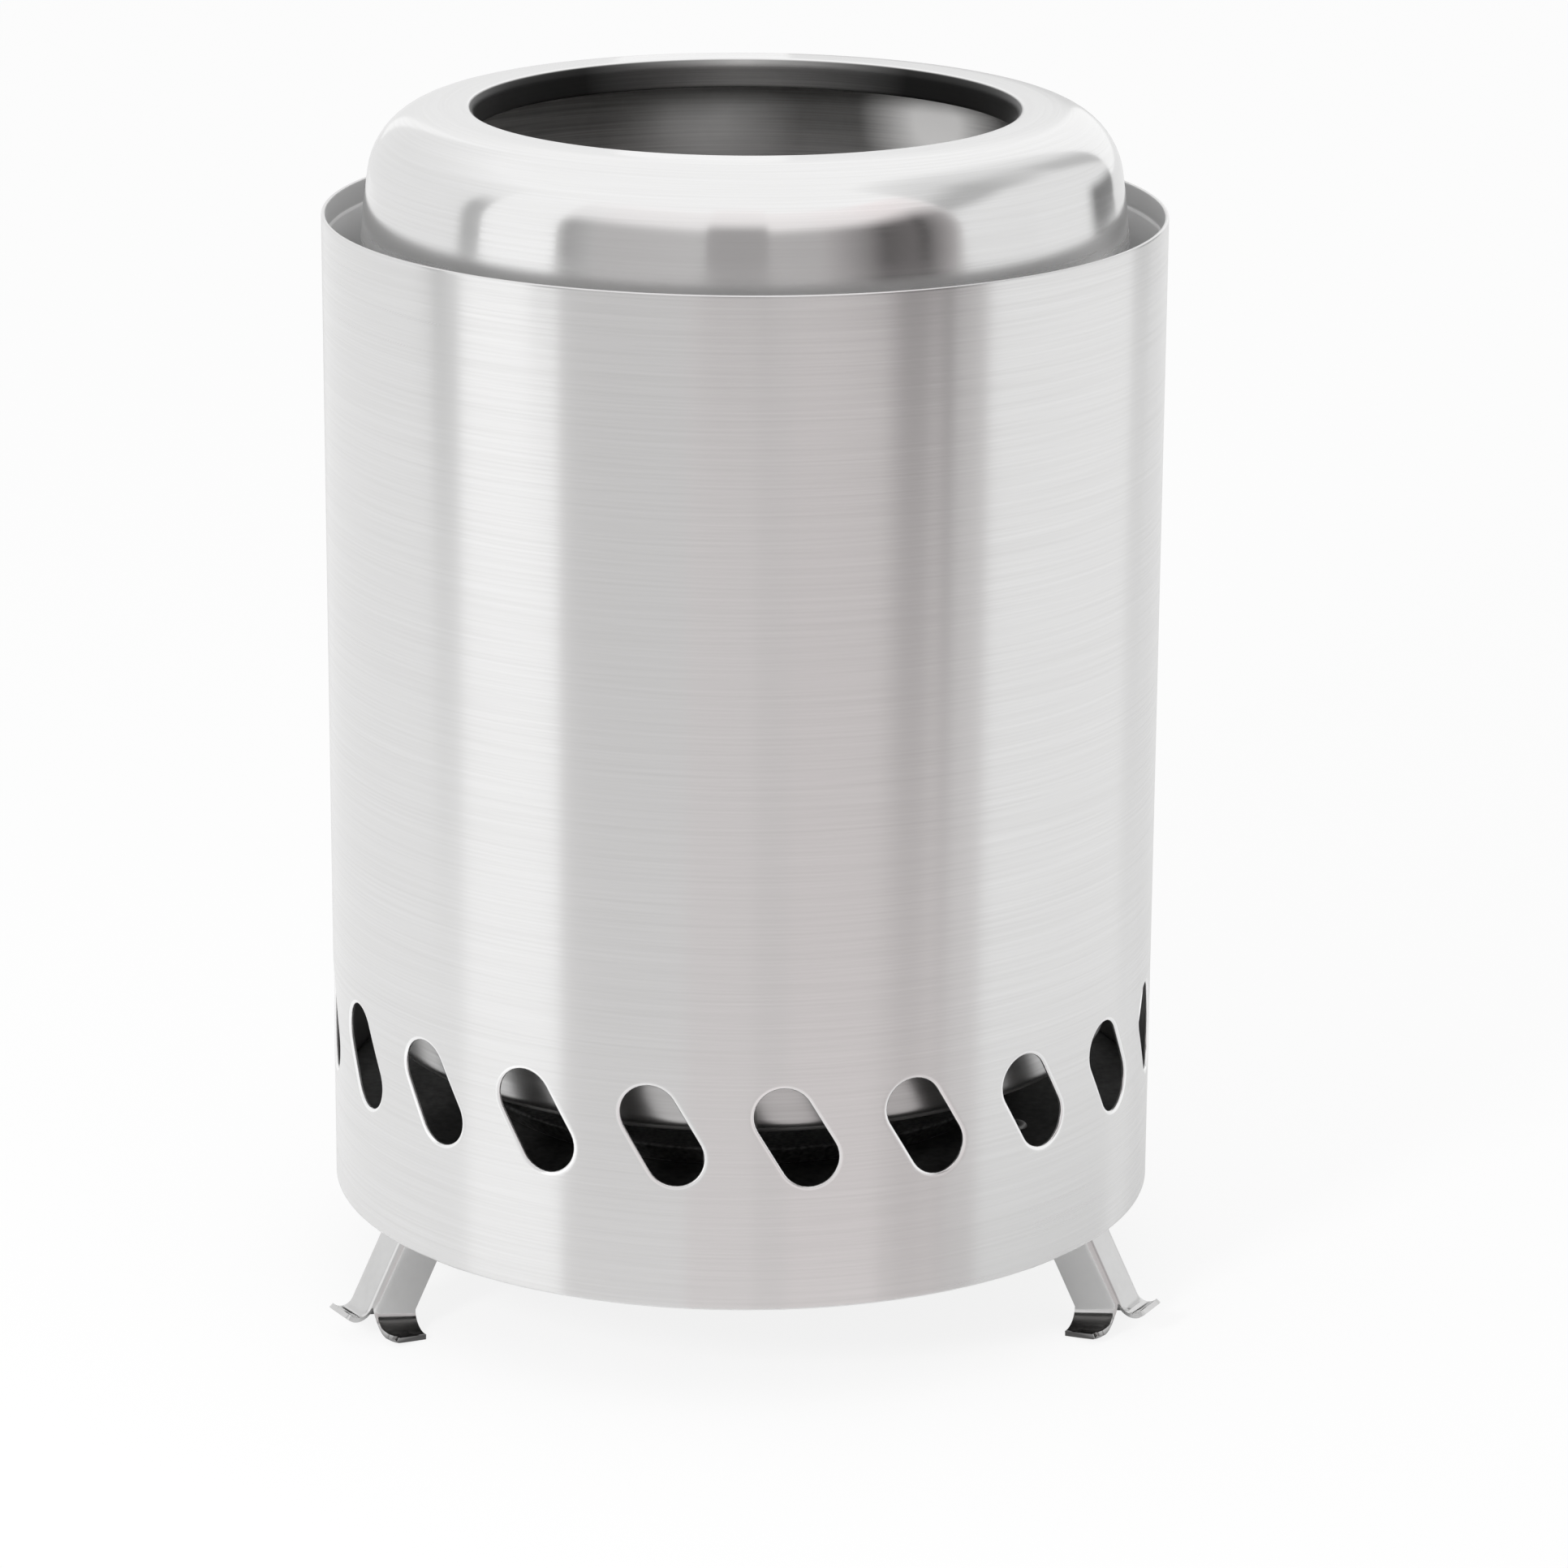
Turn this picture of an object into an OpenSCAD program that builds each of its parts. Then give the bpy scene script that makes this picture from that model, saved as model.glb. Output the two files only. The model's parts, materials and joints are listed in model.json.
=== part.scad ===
// Double-walled twig stove with a lift-off flame ring and three folding legs.
// Millimetres, +Z up. The origin is on the stove's axis, on the ground it stands on.
// The front is at -Y, and azimuths are counted from the front towards +X.

/* [Outer shell] */
// Outside diameter of the outer shell
shell_d = 130; // [110:1:160]
// Height of the outer shell
shell_h = 155.6; // [130:0.1:190]
// Thickness of the shell's sheet
shell_t = 0.8; // [0.5:0.1:1.2]
// Height of the hem folded flat inside the rim
hem_h = 3; // [2:0.1:6]
// Height of the shell's lower edge above the ground
stand_h = 15.7; // [14:0.1:25]

/* [Air slots] */
// Number of slots round the shell
slot_n = 20; // [12:1:22]
// Width of a slot
slot_w = 9; // [6:0.5:10]
// Length of a slot from end to end
slot_l = 16.8; // [12:0.2:20]
// Lean of a slot from upright
slot_tilt = 30.7; // [0:0.1:40]
// Height of the slots' lower ends above the base plate
slot_sill = 4.85; // [2:0.05:12]
// Azimuth of the first slot
slot_turn = 7.4; // [0:0.1:18]

/* [Base plate] */
// Height of the plate's underside above the shell's lower edge
base_rise = 13.9; // [13:0.1:20]
// Thickness of the plate
base_t = 0.8; // [0.5:0.1:1.5]
// Height of the flange turned down round the plate
base_flange = 6; // [4:0.5:10]
// Gap between the plate's flange and the shell
weld_gap = 0.1; // [0.05:0.05:0.2]

/* [Inner can] */
// Gap between the shell and the can
air_gap = 6.2; // [5:0.1:12]
// Thickness of the can's sheet
can_t = 0.8; // [0.5:0.1:1.2]
// Height of the can's lower edge above the base plate
can_rise = 10.7; // [9:0.1:20]
// Width of the lip turned in at the can's lower edge
can_lip = 4.2; // [3:0.1:8]
// Number of air holes near the can's top
hole_n = 36; // [12:1:48]
// Diameter of an air hole
hole_d = 4; // [3:0.5:6]
// Depth of the air holes below the flame ring's spigot
hole_drop = 7; // [4:0.5:20]

/* [Flame ring] */
// Thickness of the ring's sheet
ring_t = 0.8; // [0.5:0.1:1.2]
// Height of the ring's top above the shell's rim
ring_rise = 16.2; // [10:0.1:30]
// Radius of the ring's outer shoulder
shoulder_r = 11.3; // [6:0.1:14]
// Width of the flat land on top
land_w = 3.7; // [2:0.1:8]
// Outer radius of the bend between the land and the collar
collar_bend = 1.4; // [1.3:0.1:3]
// Depth of the collar below the land
collar_h = 4.6; // [3.2:0.1:8]
// Depth of the skirt below the shell's rim
skirt_drop = 14; // [8:0.5:30]
// Depth of the spigot inside the can
spigot_h = 8; // [5:0.5:15]
// Gap between the spigot and the can
spigot_gap = 0.3; // [0.2:0.05:0.6]

/* [Fire grate] */
// Thickness of the grate
grate_t = 1.2; // [0.8:0.1:2]
// Gap between the grate's edge and the rivet heads in the can
grate_gap = 0.45; // [0.3:0.05:1]
// Diameter of a hole in the grate
grate_hole_d = 5; // [3:0.5:6]
// Distance between the rings of holes
grate_pitch = 9; // [8:0.5:14]
// Width of the plain rim round the holes
grate_rim = 4.5; // [4:0.5:10]
// Diameter of the finger hole in the middle
finger_d = 20; // [16:0.5:24]

/* [Ash tray] */
// Gap between the tray's rim and the nearest rivet head
tray_gap = 2; // [1:0.5:10]
// Height of the tray
tray_h = 3.8; // [2.5:0.1:6]
// Thickness of the tray's sheet
tray_t = 0.6; // [0.4:0.1:1]
// Width of the tray's sloping wall
tray_slope = 3; // [1:0.5:8]

/* [Can brackets] */
// Width of a bracket
bracket_w = 8; // [6:0.5:12]
// Thickness of a bracket
bracket_t = 0.8; // [0.6:0.1:1.2]
// Length of a bracket's foot
bracket_foot = 9.5; // [8.5:0.5:10]
// Height of a bracket up the can's wall
bracket_lap = 11; // [9:0.5:20]
// Gap between a bracket and the can
bracket_gap = 0.05; // [0.03:0.01:0.2]

/* [Rivets] */
// Diameter of a rivet
rivet_d = 2.4; // [2:0.1:3]
// Diameter of a rivet's head
rivet_head_d = 3.8; // [3.4:0.1:4.2]
// Diameter of the flat crown of a rivet's head
rivet_crown_d = 2.7; // [2:0.1:3.2]
// Height of a rivet's head
rivet_head_h = 0.9; // [0.6:0.1:1.2]
// Width of a bracket or clip left beyond a rivet's head
rivet_edge = 1; // [0.5:0.1:1.2]
// Radial clearance of a rivet in its hole
rivet_fit = 0.05; // [0.02:0.01:0.1]
// Gap between a rivet's head and a curved wall
rivet_head_gap = 0.05; // [0.04:0.01:0.1]

/* [Legs] */
// Width of a leg across its web
leg_w = 7; // [5.6:0.1:10]
// Depth of a leg from its web to its open edges
leg_depth = 8.1; // [7:0.1:9]
// Thickness of a leg's sheet
leg_t = 0.8; // [0.5:0.1:1.1]
// Outer radius of the bends between a leg's web and its sides
leg_bend = 1.2; // [1.2:0.1:2]
// Splay of a leg from upright
leg_splay = 28; // [15:0.5:35]
// Turn of the three legs about the stove's axis
leg_turn = 1.4; // [-10:0.1:10]
// Gap between an open leg's web and the shell it rests against
leg_gap = 0.35; // [0.3:0.05:0.6]
// Inner radius of the foot lips on a leg's sides
foot_bend = 1.9; // [1.5:0.1:3]
// Reach of the foot lips out from a leg's sides
foot_reach = 4.2; // [3.2:0.1:6]
// Height of the heel lip's fold above the ground
heel_rise = 5.2; // [4.3:0.1:7]
// Inner radius of the heel lip on a leg's web
heel_bend = 1.2; // [0.8:0.1:2]
// Reach of the heel lip out from a leg's web
heel_reach = 3; // [2.2:0.1:5]

/* [Leg hinges] */
// Diameter of a hinge pin
pin_d = 2.4; // [2:0.1:3]
// Radial clearance of a pin in its holes
pin_fit = 0.05; // [0.02:0.01:0.1]
// Diameter of a pin's head
pin_head_d = 4.2; // [3.6:0.1:5]
// Height of a pin's head
pin_head_h = 0.8; // [0.5:0.1:1.2]
// Gap between a pin's head and the clip
pin_play = 0.1; // [0.05:0.05:0.3]
// Thickness of a hinge clip
clip_t = 1; // [0.8:0.1:1.4]
// Gap between a leg's sides and the clip's ears
clip_gap = 0.3; // [0.2:0.05:0.5]
// Gap between a leg's top and the clip's plate
eye_gap = 0.8; // [0.5:0.1:2]
// Radius of a clip's ears about the pin
ear_r = 3.6; // [3:0.1:4]
// Length of a clip's plate inwards from the pin
clip_in = 9; // [8:0.5:9.5]
// Length of a clip's plate outwards from the pin
clip_out = 7.4; // [7.3:0.1:7.6]
// Width of a clip left beyond its outer rivet's head
clip_edge = 0.3; // [0.2:0.1:0.5]

/* [Hidden] */
$fn = 96;

// Overlap that lets a cut pass right through a wall
over = 1;

// Overlap of a foot's lip with the sheet above it, and how far the lip stops short of the sheet's
// corners and of its two faces
lip_root = 0.3;
lip_inset = 0.2;
lip_step = 0.02;

// Levels above the ground
z_low = stand_h;
z_rim = z_low + shell_h;
z_base = z_low + base_rise;
z_floor = z_base + base_t;
z_can = z_floor + can_rise;
z_seat = z_rim - skirt_drop;
z_top = z_rim + ring_rise;

// Radii from the shell inwards
shell_r = shell_d / 2;
shell_ri = shell_r - shell_t;
base_r = shell_ri - weld_gap;
can_r = shell_ri - air_gap;
can_ri = can_r - can_t;
spigot_r = can_ri - spigot_gap;
land_r = can_r - shoulder_r;
mouth_r = land_r - land_w - collar_bend;
grate_r = can_ri - rivet_head_gap - rivet_head_h - grate_gap;

// Slots: half their straight length, half their height, and their middle's level
slot_half_l = (slot_l - slot_w) / 2;
slot_half_h = slot_half_l * cos(slot_tilt) + slot_w / 2;
z_slot = z_floor + slot_sill + slot_half_h;
slot_step = 360 / slot_n;

// Azimuths of the legs, and of the brackets, the first of which stands between two slots
leg_left_az = leg_turn - 60;
leg_right_az = leg_turn + 60;
leg_rear_az = leg_turn + 180;
leg_azs = [leg_left_az, leg_right_az, leg_rear_az];
bracket_front_az = slot_turn - slot_step / 2;
bracket_right_az = bracket_front_az + 120;
bracket_left_az = bracket_front_az - 120;
bracket_azs = [bracket_front_az, bracket_right_az, bracket_left_az];

// Brackets: their curved back on the can, and their two rivets
bracket_ri = can_r + bracket_gap;
bracket_ro = bracket_ri + bracket_t;
bracket_in = bracket_ro - bracket_foot;
bracket_foot_hole = bracket_in + rivet_head_d / 2 + rivet_edge;
z_bracket_top = z_can + bracket_lap;
z_bracket_hole = z_bracket_top - rivet_head_d / 2 - rivet_edge;

// Hinge pin: half a leg's depth in from its web, which rests against the shell's lower edge
pin_off = leg_depth / 2;
pin_z = z_base - clip_t - eye_gap - pin_off;
pin_rho = shell_ri - leg_gap - (pin_z - z_low) * tan(leg_splay) - pin_off / cos(leg_splay);
ear_in = leg_w / 2 + clip_gap;
ear_out = ear_in + clip_t;
clip_rivet_in = pin_rho - clip_in + rivet_head_d / 2 + rivet_edge;
clip_rivet_out = pin_rho + clip_out - rivet_head_d / 2 - clip_edge;

// Ash tray: clear of every rivet head and bracket foot on the base plate
tray_r = min(clip_rivet_in - rivet_head_d / 2, bracket_in) - tray_gap;

// Distance from the pin down a leg to a level, at a point that far out from the pin
function leg_run(out, z) = (pin_z - z + out * sin(leg_splay)) / cos(leg_splay);

// Distance from the axis of a point that far out from the pin, at a level
function leg_rho(out, z) = pin_rho + (pin_z - z) * tan(leg_splay) + out / cos(leg_splay);

// A leg's folds: the foot lips' level, and the heel's distance down the leg
foot_fold = foot_bend + leg_t - lip_step;
heel_fold = leg_run(pin_off, heel_rise);
web_top = pin_d / 2;
side_out = pin_off - leg_bend;
eye_r = (pin_off + side_out) / 2;

// Turns its children's +X to an azimuth
module at_azimuth(az) {
    rotate([0, 0, az - 90]) children();
}

// Lays a flat outline, drawn in X and Z, as a plate of thickness t from y towards +Y
module plate_xz(y, t) {
    translate([0, y + t, 0]) rotate([90, 0, 0]) linear_extrude(t) children();
}

// A quarter of a flat ring about the origin, in the quadrant of -X and -Y
module quarter_ring(inner, outer) {
    intersection() {
        difference() {
            circle(outer);
            circle(inner);
        }
        translate([-outer, -outer]) square(outer);
    }
}

// Section of a lip: a sheet of thickness t, outer face on X = 0, that bends out to +X below Y = 0.
// Its straight root rises into the sheet that it belongs to.
module lip_section(bend, reach, t) {
    inner = bend + lip_step;
    outer = bend + t - lip_step;
    translate([bend - outer, 0]) square([outer - inner, lip_root]);
    translate([bend, 0]) quarter_ring(inner, outer);
    translate([bend, -outer]) square([reach - bend, outer - inner]);
}

// A rivet along Z: its shank fills grip from 0 up, with a coned head at each end, set off by gap
module rivet(grip, gap = 0) {
    translate([0, 0, -gap]) cylinder(h = grip + 2 * gap, d = rivet_d);
    translate([0, 0, grip + gap]) cylinder(h = rivet_head_h, d1 = rivet_head_d, d2 = rivet_crown_d);
    translate([0, 0, -gap - rivet_head_h]) cylinder(h = rivet_head_h, d1 = rivet_crown_d, d2 = rivet_head_d);
}

// A hole along Z for a rivet, from z up
module rivet_hole(z, h) {
    translate([0, 0, z - over]) cylinder(h = h + 2 * over, d = rivet_d + 2 * rivet_fit);
}

// The places of the rivets that hold the hinge clips
module at_clip_rivets(azs) {
    for (az = azs) at_azimuth(az)
        for (rho = [clip_rivet_in, clip_rivet_out]) translate([rho, 0, 0]) children();
}

// The places of the rivets that hold the brackets' feet
module at_foot_rivets(azs) {
    for (az = azs) at_azimuth(az) translate([bracket_foot_hole, 0, 0]) children();
}

// The places of the rivets that hold the brackets to the can, with Z outwards from the axis
module at_wall_rivets(azs) {
    for (az = azs) at_azimuth(az) translate([0, 0, z_bracket_hole]) rotate([0, 90, 0]) children();
}

// Hole for a rivet through the can and a bracket's back
module wall_rivet_hole() {
    rivet_hole(can_ri, bracket_ro - can_ri);
}

// Outline of one slot, upright, that is then leant over
module slot_outline() {
    rotate(slot_tilt) {
        square([slot_w, 2 * slot_half_l], center = true);
        for (end = [-1, 1]) translate([0, end * slot_half_l]) circle(d = slot_w);
    }
}

// Section of the shell's wall with the hem folded inside its rim
module shell_section() {
    translate([shell_ri, z_low]) square([shell_t, shell_h - shell_t]);
    translate([shell_ri - shell_t, z_rim - hem_h]) square([shell_t + shell_t / 2, hem_h - shell_t]);
    translate([shell_ri, z_rim - shell_t]) circle(shell_t);
}

module outer_shell() {
    color("silver") difference() {
        rotate_extrude() shell_section();
        for (i = [0:slot_n - 1]) at_azimuth(slot_turn + i * slot_step)
            translate([shell_ri - over - shell_t, 0, z_slot]) rotate([90, 0, 90])
                linear_extrude(2 * shell_t + 2 * over) slot_outline();
    }
}

// Section of the base plate: a disc whose edge is turned down
module base_section() {
    bend = 2 * base_t;
    translate([0, z_base]) square([base_r - bend, base_t]);
    translate([base_r - base_t, z_floor - base_flange]) square([base_t, base_flange - bend]);
    translate([base_r - bend, z_floor - bend]) rotate(180) quarter_ring(base_t, bend);
}

module base_plate() {
    color("gainsboro") difference() {
        rotate_extrude() base_section();
        at_clip_rivets(leg_azs) rivet_hole(z_base, base_t);
        at_foot_rivets(bracket_azs) rivet_hole(z_base, base_t);
    }
}

// Section of the can: an upright wall with a lip turned in at its lower edge
module can_section() {
    bend = 2 * can_t;
    translate([can_ri, z_can + bend]) square([can_t, z_seat - z_can - bend]);
    translate([can_r - bend, z_can + bend]) mirror([1, 0]) quarter_ring(can_t, bend);
    translate([can_ri - can_lip, z_can]) square([can_lip + can_t - bend, can_t]);
}

module inner_can() {
    z_holes = z_seat - spigot_h - hole_drop;
    color("darkgray") difference() {
        rotate_extrude() can_section();
        for (i = [0:hole_n - 1]) at_azimuth(i * 360 / hole_n) translate([can_ri - over, 0, z_holes])
            rotate([0, 90, 0]) cylinder(h = can_t + 2 * over, d = hole_d);
        at_wall_rivets(bracket_azs) wall_rivet_hole();
    }
}

// Section of the flame ring: collar, land, shoulder, skirt and the spigot below it
module ring_section() {
    z_shoulder = z_top - shoulder_r;
    bend_r = mouth_r + collar_bend;
    translate([mouth_r, z_top - collar_h]) square([ring_t, collar_h - collar_bend]);
    translate([bend_r, z_top - collar_bend]) rotate(-90) quarter_ring(collar_bend - ring_t, collar_bend);
    translate([bend_r, z_top - ring_t]) square([land_w, ring_t]);
    translate([land_r, z_shoulder]) rotate(180) quarter_ring(shoulder_r - ring_t, shoulder_r);
    translate([can_r - ring_t, z_seat]) square([ring_t, z_shoulder - z_seat]);
    translate([spigot_r - ring_t, z_seat]) square([can_r - spigot_r + ring_t, ring_t]);
    translate([spigot_r - ring_t, z_seat - spigot_h]) square([ring_t, spigot_h]);
}

module flame_ring() {
    color("whitesmoke") rotate_extrude() ring_section();
}

module fire_grate() {
    reach = grate_r - grate_rim - grate_hole_d / 2;
    first = ceil((finger_d / 2 + grate_hole_d) / grate_pitch);
    color("dimgray") translate([0, 0, z_can + can_t]) difference() {
        cylinder(h = grate_t, r = grate_r);
        translate([0, 0, -over]) cylinder(h = grate_t + 2 * over, d = finger_d);
        for (i = [first:floor(reach / grate_pitch)]) for (k = [0:6 * i - 1])
            rotate([0, 0, k * 60 / i]) translate([i * grate_pitch, 0, -over])
                cylinder(h = grate_t + 2 * over, d = grate_hole_d);
    }
}

module ash_tray() {
    floor_r = tray_r - tray_slope;
    color("gray") translate([0, 0, z_floor]) difference() {
        cylinder(h = tray_h, r1 = floor_r, r2 = tray_r);
        translate([0, 0, tray_t]) cylinder(h = tray_h, r1 = floor_r - tray_t, r2 = tray_r - tray_t);
    }
}

// A bracket: a back that follows the can's wall, on a foot that points inwards
module can_bracket(az) {
    half_turn = asin(bracket_w / 2 / bracket_ri);
    back_h = z_bracket_top - z_floor;
    color("lightgray") difference() {
        at_azimuth(az) translate([0, 0, z_floor]) {
            rotate([0, 0, -half_turn]) rotate_extrude(angle = 2 * half_turn)
                translate([bracket_ri, 0]) square([bracket_t, back_h]);
            translate([bracket_in, -bracket_w / 2, 0])
                cube([bracket_ri + bracket_t / 2 - bracket_in, bracket_w, bracket_t]);
        }
        at_foot_rivets([az]) rivet_hole(z_floor, bracket_t);
        at_wall_rivets([az]) wall_rivet_hole();
    }
}

module can_bracket_front() { can_bracket(bracket_front_az); }
module can_bracket_right() { can_bracket(bracket_right_az); }
module can_bracket_left() { can_bracket(bracket_left_az); }

module bracket_foot_rivets() {
    color("silver") at_foot_rivets(bracket_azs) translate([0, 0, z_base]) rivet(base_t + bracket_t);
}

module bracket_wall_rivets() {
    color("silver") at_wall_rivets(bracket_azs) translate([0, 0, can_ri])
        rivet(bracket_ro - can_ri, rivet_head_gap);
}

// One side of a leg, drawn from the pin: X out from the pin and Y up the leg
module leg_side_outline() {
    difference() {
        union() {
            translate([side_out - eye_r, 0]) circle(eye_r);
            polygon([[-pin_off, 0], [side_out, 0], [side_out, -leg_run(side_out, foot_fold)],
                [-pin_off, -leg_run(-pin_off, foot_fold)]]);
        }
        circle(pin_d / 2 + pin_fit);
    }
}

// One bend of a leg between its web and its side at +Y, in section
module leg_bend_section() {
    translate([side_out, leg_w / 2 - leg_bend]) rotate(180) quarter_ring(leg_bend - leg_t, leg_bend);
}

// The web and both bends of a leg, from the hinge down to the heel
module leg_web() {
    flat_w = leg_w - 2 * leg_bend;
    translate([0, 0, -heel_fold]) linear_extrude(heel_fold - web_top) {
        translate([pin_off - leg_t, -flat_w / 2]) square([leg_t, flat_w]);
        leg_bend_section();
        mirror([0, 1]) leg_bend_section();
    }
    translate([pin_off, 0, -heel_fold]) plate_xz(-flat_w / 2, flat_w)
        lip_section(heel_bend, heel_reach, leg_t);
}

// The foot lip along the lower edge of a leg's side at +Y
module foot_lip() {
    inner = leg_rho(-pin_off, foot_fold) + lip_inset;
    outer = leg_rho(side_out, foot_fold + lip_root) - lip_inset;
    translate([inner, leg_w / 2, foot_fold]) rotate([90, 0, 90]) linear_extrude(outer - inner)
        lip_section(foot_bend, foot_reach, leg_t);
}

module leg(az) {
    color("lightgray") at_azimuth(az) {
        translate([pin_rho, 0, pin_z]) rotate([0, -leg_splay, 0]) {
            plate_xz(leg_w / 2 - leg_t, leg_t) leg_side_outline();
            plate_xz(-leg_w / 2, leg_t) leg_side_outline();
            leg_web();
        }
        foot_lip();
        mirror([0, 1, 0]) foot_lip();
    }
}

module leg_left() { leg(leg_left_az); }
module leg_right() { leg(leg_right_az); }
module leg_rear() { leg(leg_rear_az); }

// One ear of a clip, drawn from the pin
module ear_outline() {
    difference() {
        union() {
            circle(ear_r);
            translate([-ear_r, 0]) square([2 * ear_r, z_base - pin_z]);
        }
        circle(pin_d / 2 + pin_fit);
    }
}

module leg_clip(az) {
    color("darkgray") difference() {
        at_azimuth(az) {
            translate([pin_rho - clip_in, -ear_out, z_base - clip_t])
                cube([clip_in + clip_out, 2 * ear_out, clip_t]);
            translate([pin_rho, 0, pin_z]) {
                plate_xz(ear_in, clip_t) ear_outline();
                plate_xz(-ear_out, clip_t) ear_outline();
            }
        }
        at_clip_rivets([az]) rivet_hole(z_base - clip_t, clip_t);
    }
}

module leg_clip_left() { leg_clip(leg_left_az); }
module leg_clip_right() { leg_clip(leg_right_az); }
module leg_clip_rear() { leg_clip(leg_rear_az); }

module leg_pin(az) {
    reach = ear_out + pin_play;
    color("silver") at_azimuth(az) translate([pin_rho, 0, pin_z]) rotate([90, 0, 0]) {
        cylinder(h = 2 * reach, d = pin_d, center = true);
        translate([0, 0, reach]) cylinder(h = pin_head_h, d = pin_head_d);
        translate([0, 0, -reach - pin_head_h]) cylinder(h = pin_head_h, d = pin_head_d);
    }
}

module leg_pin_left() { leg_pin(leg_left_az); }
module leg_pin_right() { leg_pin(leg_right_az); }
module leg_pin_rear() { leg_pin(leg_rear_az); }

module clip_rivets() {
    color("silver") at_clip_rivets(leg_azs) translate([0, 0, z_base - clip_t]) rivet(clip_t + base_t);
}

outer_shell();
base_plate();
inner_can();
flame_ring();
fire_grate();
ash_tray();
can_bracket_front();
can_bracket_right();
can_bracket_left();
bracket_foot_rivets();
bracket_wall_rivets();
leg_left();
leg_right();
leg_rear();
leg_clip_left();
leg_clip_right();
leg_clip_rear();
leg_pin_left();
leg_pin_right();
leg_pin_rear();
clip_rivets();
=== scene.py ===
import json
from math import asin, atan2, cos, degrees, pi, radians, sin, sqrt, tan

import bmesh
import bpy
from mathutils import Matrix, Vector


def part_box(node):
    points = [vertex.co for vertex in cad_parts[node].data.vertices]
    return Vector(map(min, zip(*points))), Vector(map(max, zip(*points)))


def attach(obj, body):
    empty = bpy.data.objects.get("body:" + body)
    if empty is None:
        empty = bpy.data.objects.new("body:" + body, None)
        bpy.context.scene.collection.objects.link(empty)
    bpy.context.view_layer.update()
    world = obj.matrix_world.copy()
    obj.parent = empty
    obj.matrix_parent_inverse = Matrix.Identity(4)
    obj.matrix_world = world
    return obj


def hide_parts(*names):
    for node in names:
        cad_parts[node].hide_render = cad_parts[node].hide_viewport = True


# Twig stove in brushed sheet steel. Sizes below are millimetres and degrees, azimuths count from
# the front towards +X, and meshes are scaled to metres as they are made.
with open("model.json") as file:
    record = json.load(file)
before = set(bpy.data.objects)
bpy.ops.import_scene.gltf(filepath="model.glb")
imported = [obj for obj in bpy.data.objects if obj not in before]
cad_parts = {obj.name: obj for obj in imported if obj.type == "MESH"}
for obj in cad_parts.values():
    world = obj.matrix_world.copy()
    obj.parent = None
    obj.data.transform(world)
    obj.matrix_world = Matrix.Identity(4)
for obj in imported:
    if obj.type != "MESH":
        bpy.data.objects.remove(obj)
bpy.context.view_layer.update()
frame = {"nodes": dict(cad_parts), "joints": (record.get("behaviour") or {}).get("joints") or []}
perMetre = 1000.0
weld, nodeWeld = 0.002, 0.0001  # points nearer than this become one, in new meshes and in CAD nodes
scene = bpy.context.scene


def boxOf(node):
    low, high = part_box(node)
    return low * perMetre, high * perMetre


def jointPlace(name):
    joint = next(j for j in frame["joints"] if j["name"] == name)
    return Vector(joint["pos_m"]) * perMetre, Vector(joint["axis"])


def atAzimuth(azimuth, out, z):
    a = radians(azimuth)
    return Vector((out * sin(a), -out * cos(a), z))


shellLow, shellHigh = boxOf("outer_shell")
canLow, canHigh = boxOf("inner_can")
ringLow, ringHigh = boxOf("flame_ring")
baseLow, baseHigh = boxOf("base_plate")
grateLow, grateHigh = boxOf("fire_grate")
trayLow, trayHigh = boxOf("ash_tray")


# node groups and materials

def newGroup(name, ins, outs):
    group = bpy.data.node_groups.new(name, "ShaderNodeTree")
    for label, value in ins.items():
        socket = group.interface.new_socket(label, in_out="INPUT", socket_type="NodeSocketFloat")
        socket.default_value = value
    for label in outs:
        group.interface.new_socket(label, in_out="OUTPUT", socket_type="NodeSocketFloat")
    return group, group.nodes.new("NodeGroupInput").outputs, group.nodes.new("NodeGroupOutput").inputs


def setInputs(tree, node, values):
    for socket, source in values.items():
        if isinstance(source, bpy.types.NodeSocket):
            tree.links.new(source, node.inputs[socket])
        else:
            node.inputs[socket].default_value = source


def addNode(tree, kind, values=None, **settings):
    node = tree.nodes.new(kind)
    for key, value in settings.items():
        setattr(node, key, value)
    setInputs(tree, node, values or {})
    return node


def mathNode(tree, operation, first, second=0.0, clamp=False):
    node = addNode(tree, "ShaderNodeMath", {0: first, 1: second}, operation=operation, use_clamp=clamp)
    return node.outputs[0]


def times(tree, first, second):
    return mathNode(tree, "MULTIPLY", first, second)


def plus(tree, first, second):
    return mathNode(tree, "ADD", first, second)


def minus(tree, first, second):
    return mathNode(tree, "SUBTRACT", first, second)


def hypotenuse(tree, first, second):
    return mathNode(tree, "SQRT", plus(tree, times(tree, first, first), times(tree, second, second)))


def rampNode(tree, value, fromLow, fromHigh, toLow=0.0, toHigh=1.0):
    values = {"Value": value, "From Min": fromLow, "From Max": fromHigh, "To Min": toLow, "To Max": toHigh}
    return addNode(tree, "ShaderNodeMapRange", values).outputs[0]


# Rises from 0 to 1 between two places given in millimetres.
def ramped(tree, value, fromPlace, toPlace):
    return rampNode(tree, value, fromPlace / perMetre, toPlace / perMetre)


def mixColours(tree, factor, first, second):
    return addNode(tree, "ShaderNodeMix", {0: factor, 6: first, 7: second}, data_type="RGBA").outputs[2]


def mixValues(tree, factor, first, second):
    return addNode(tree, "ShaderNodeMix", {0: factor, 2: first, 3: second}).outputs[0]


def noiseNode(tree, place, scale, detail, roughness=0.5, distortion=0.0):
    values = {"Vector": place, "Scale": scale, "Detail": detail, "Roughness": roughness,
              "Distortion": distortion}
    return addNode(tree, "ShaderNodeTexNoise", values).outputs[0]


def objectPlace(tree):
    return addNode(tree, "ShaderNodeTexCoord").outputs["Object"]


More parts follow.
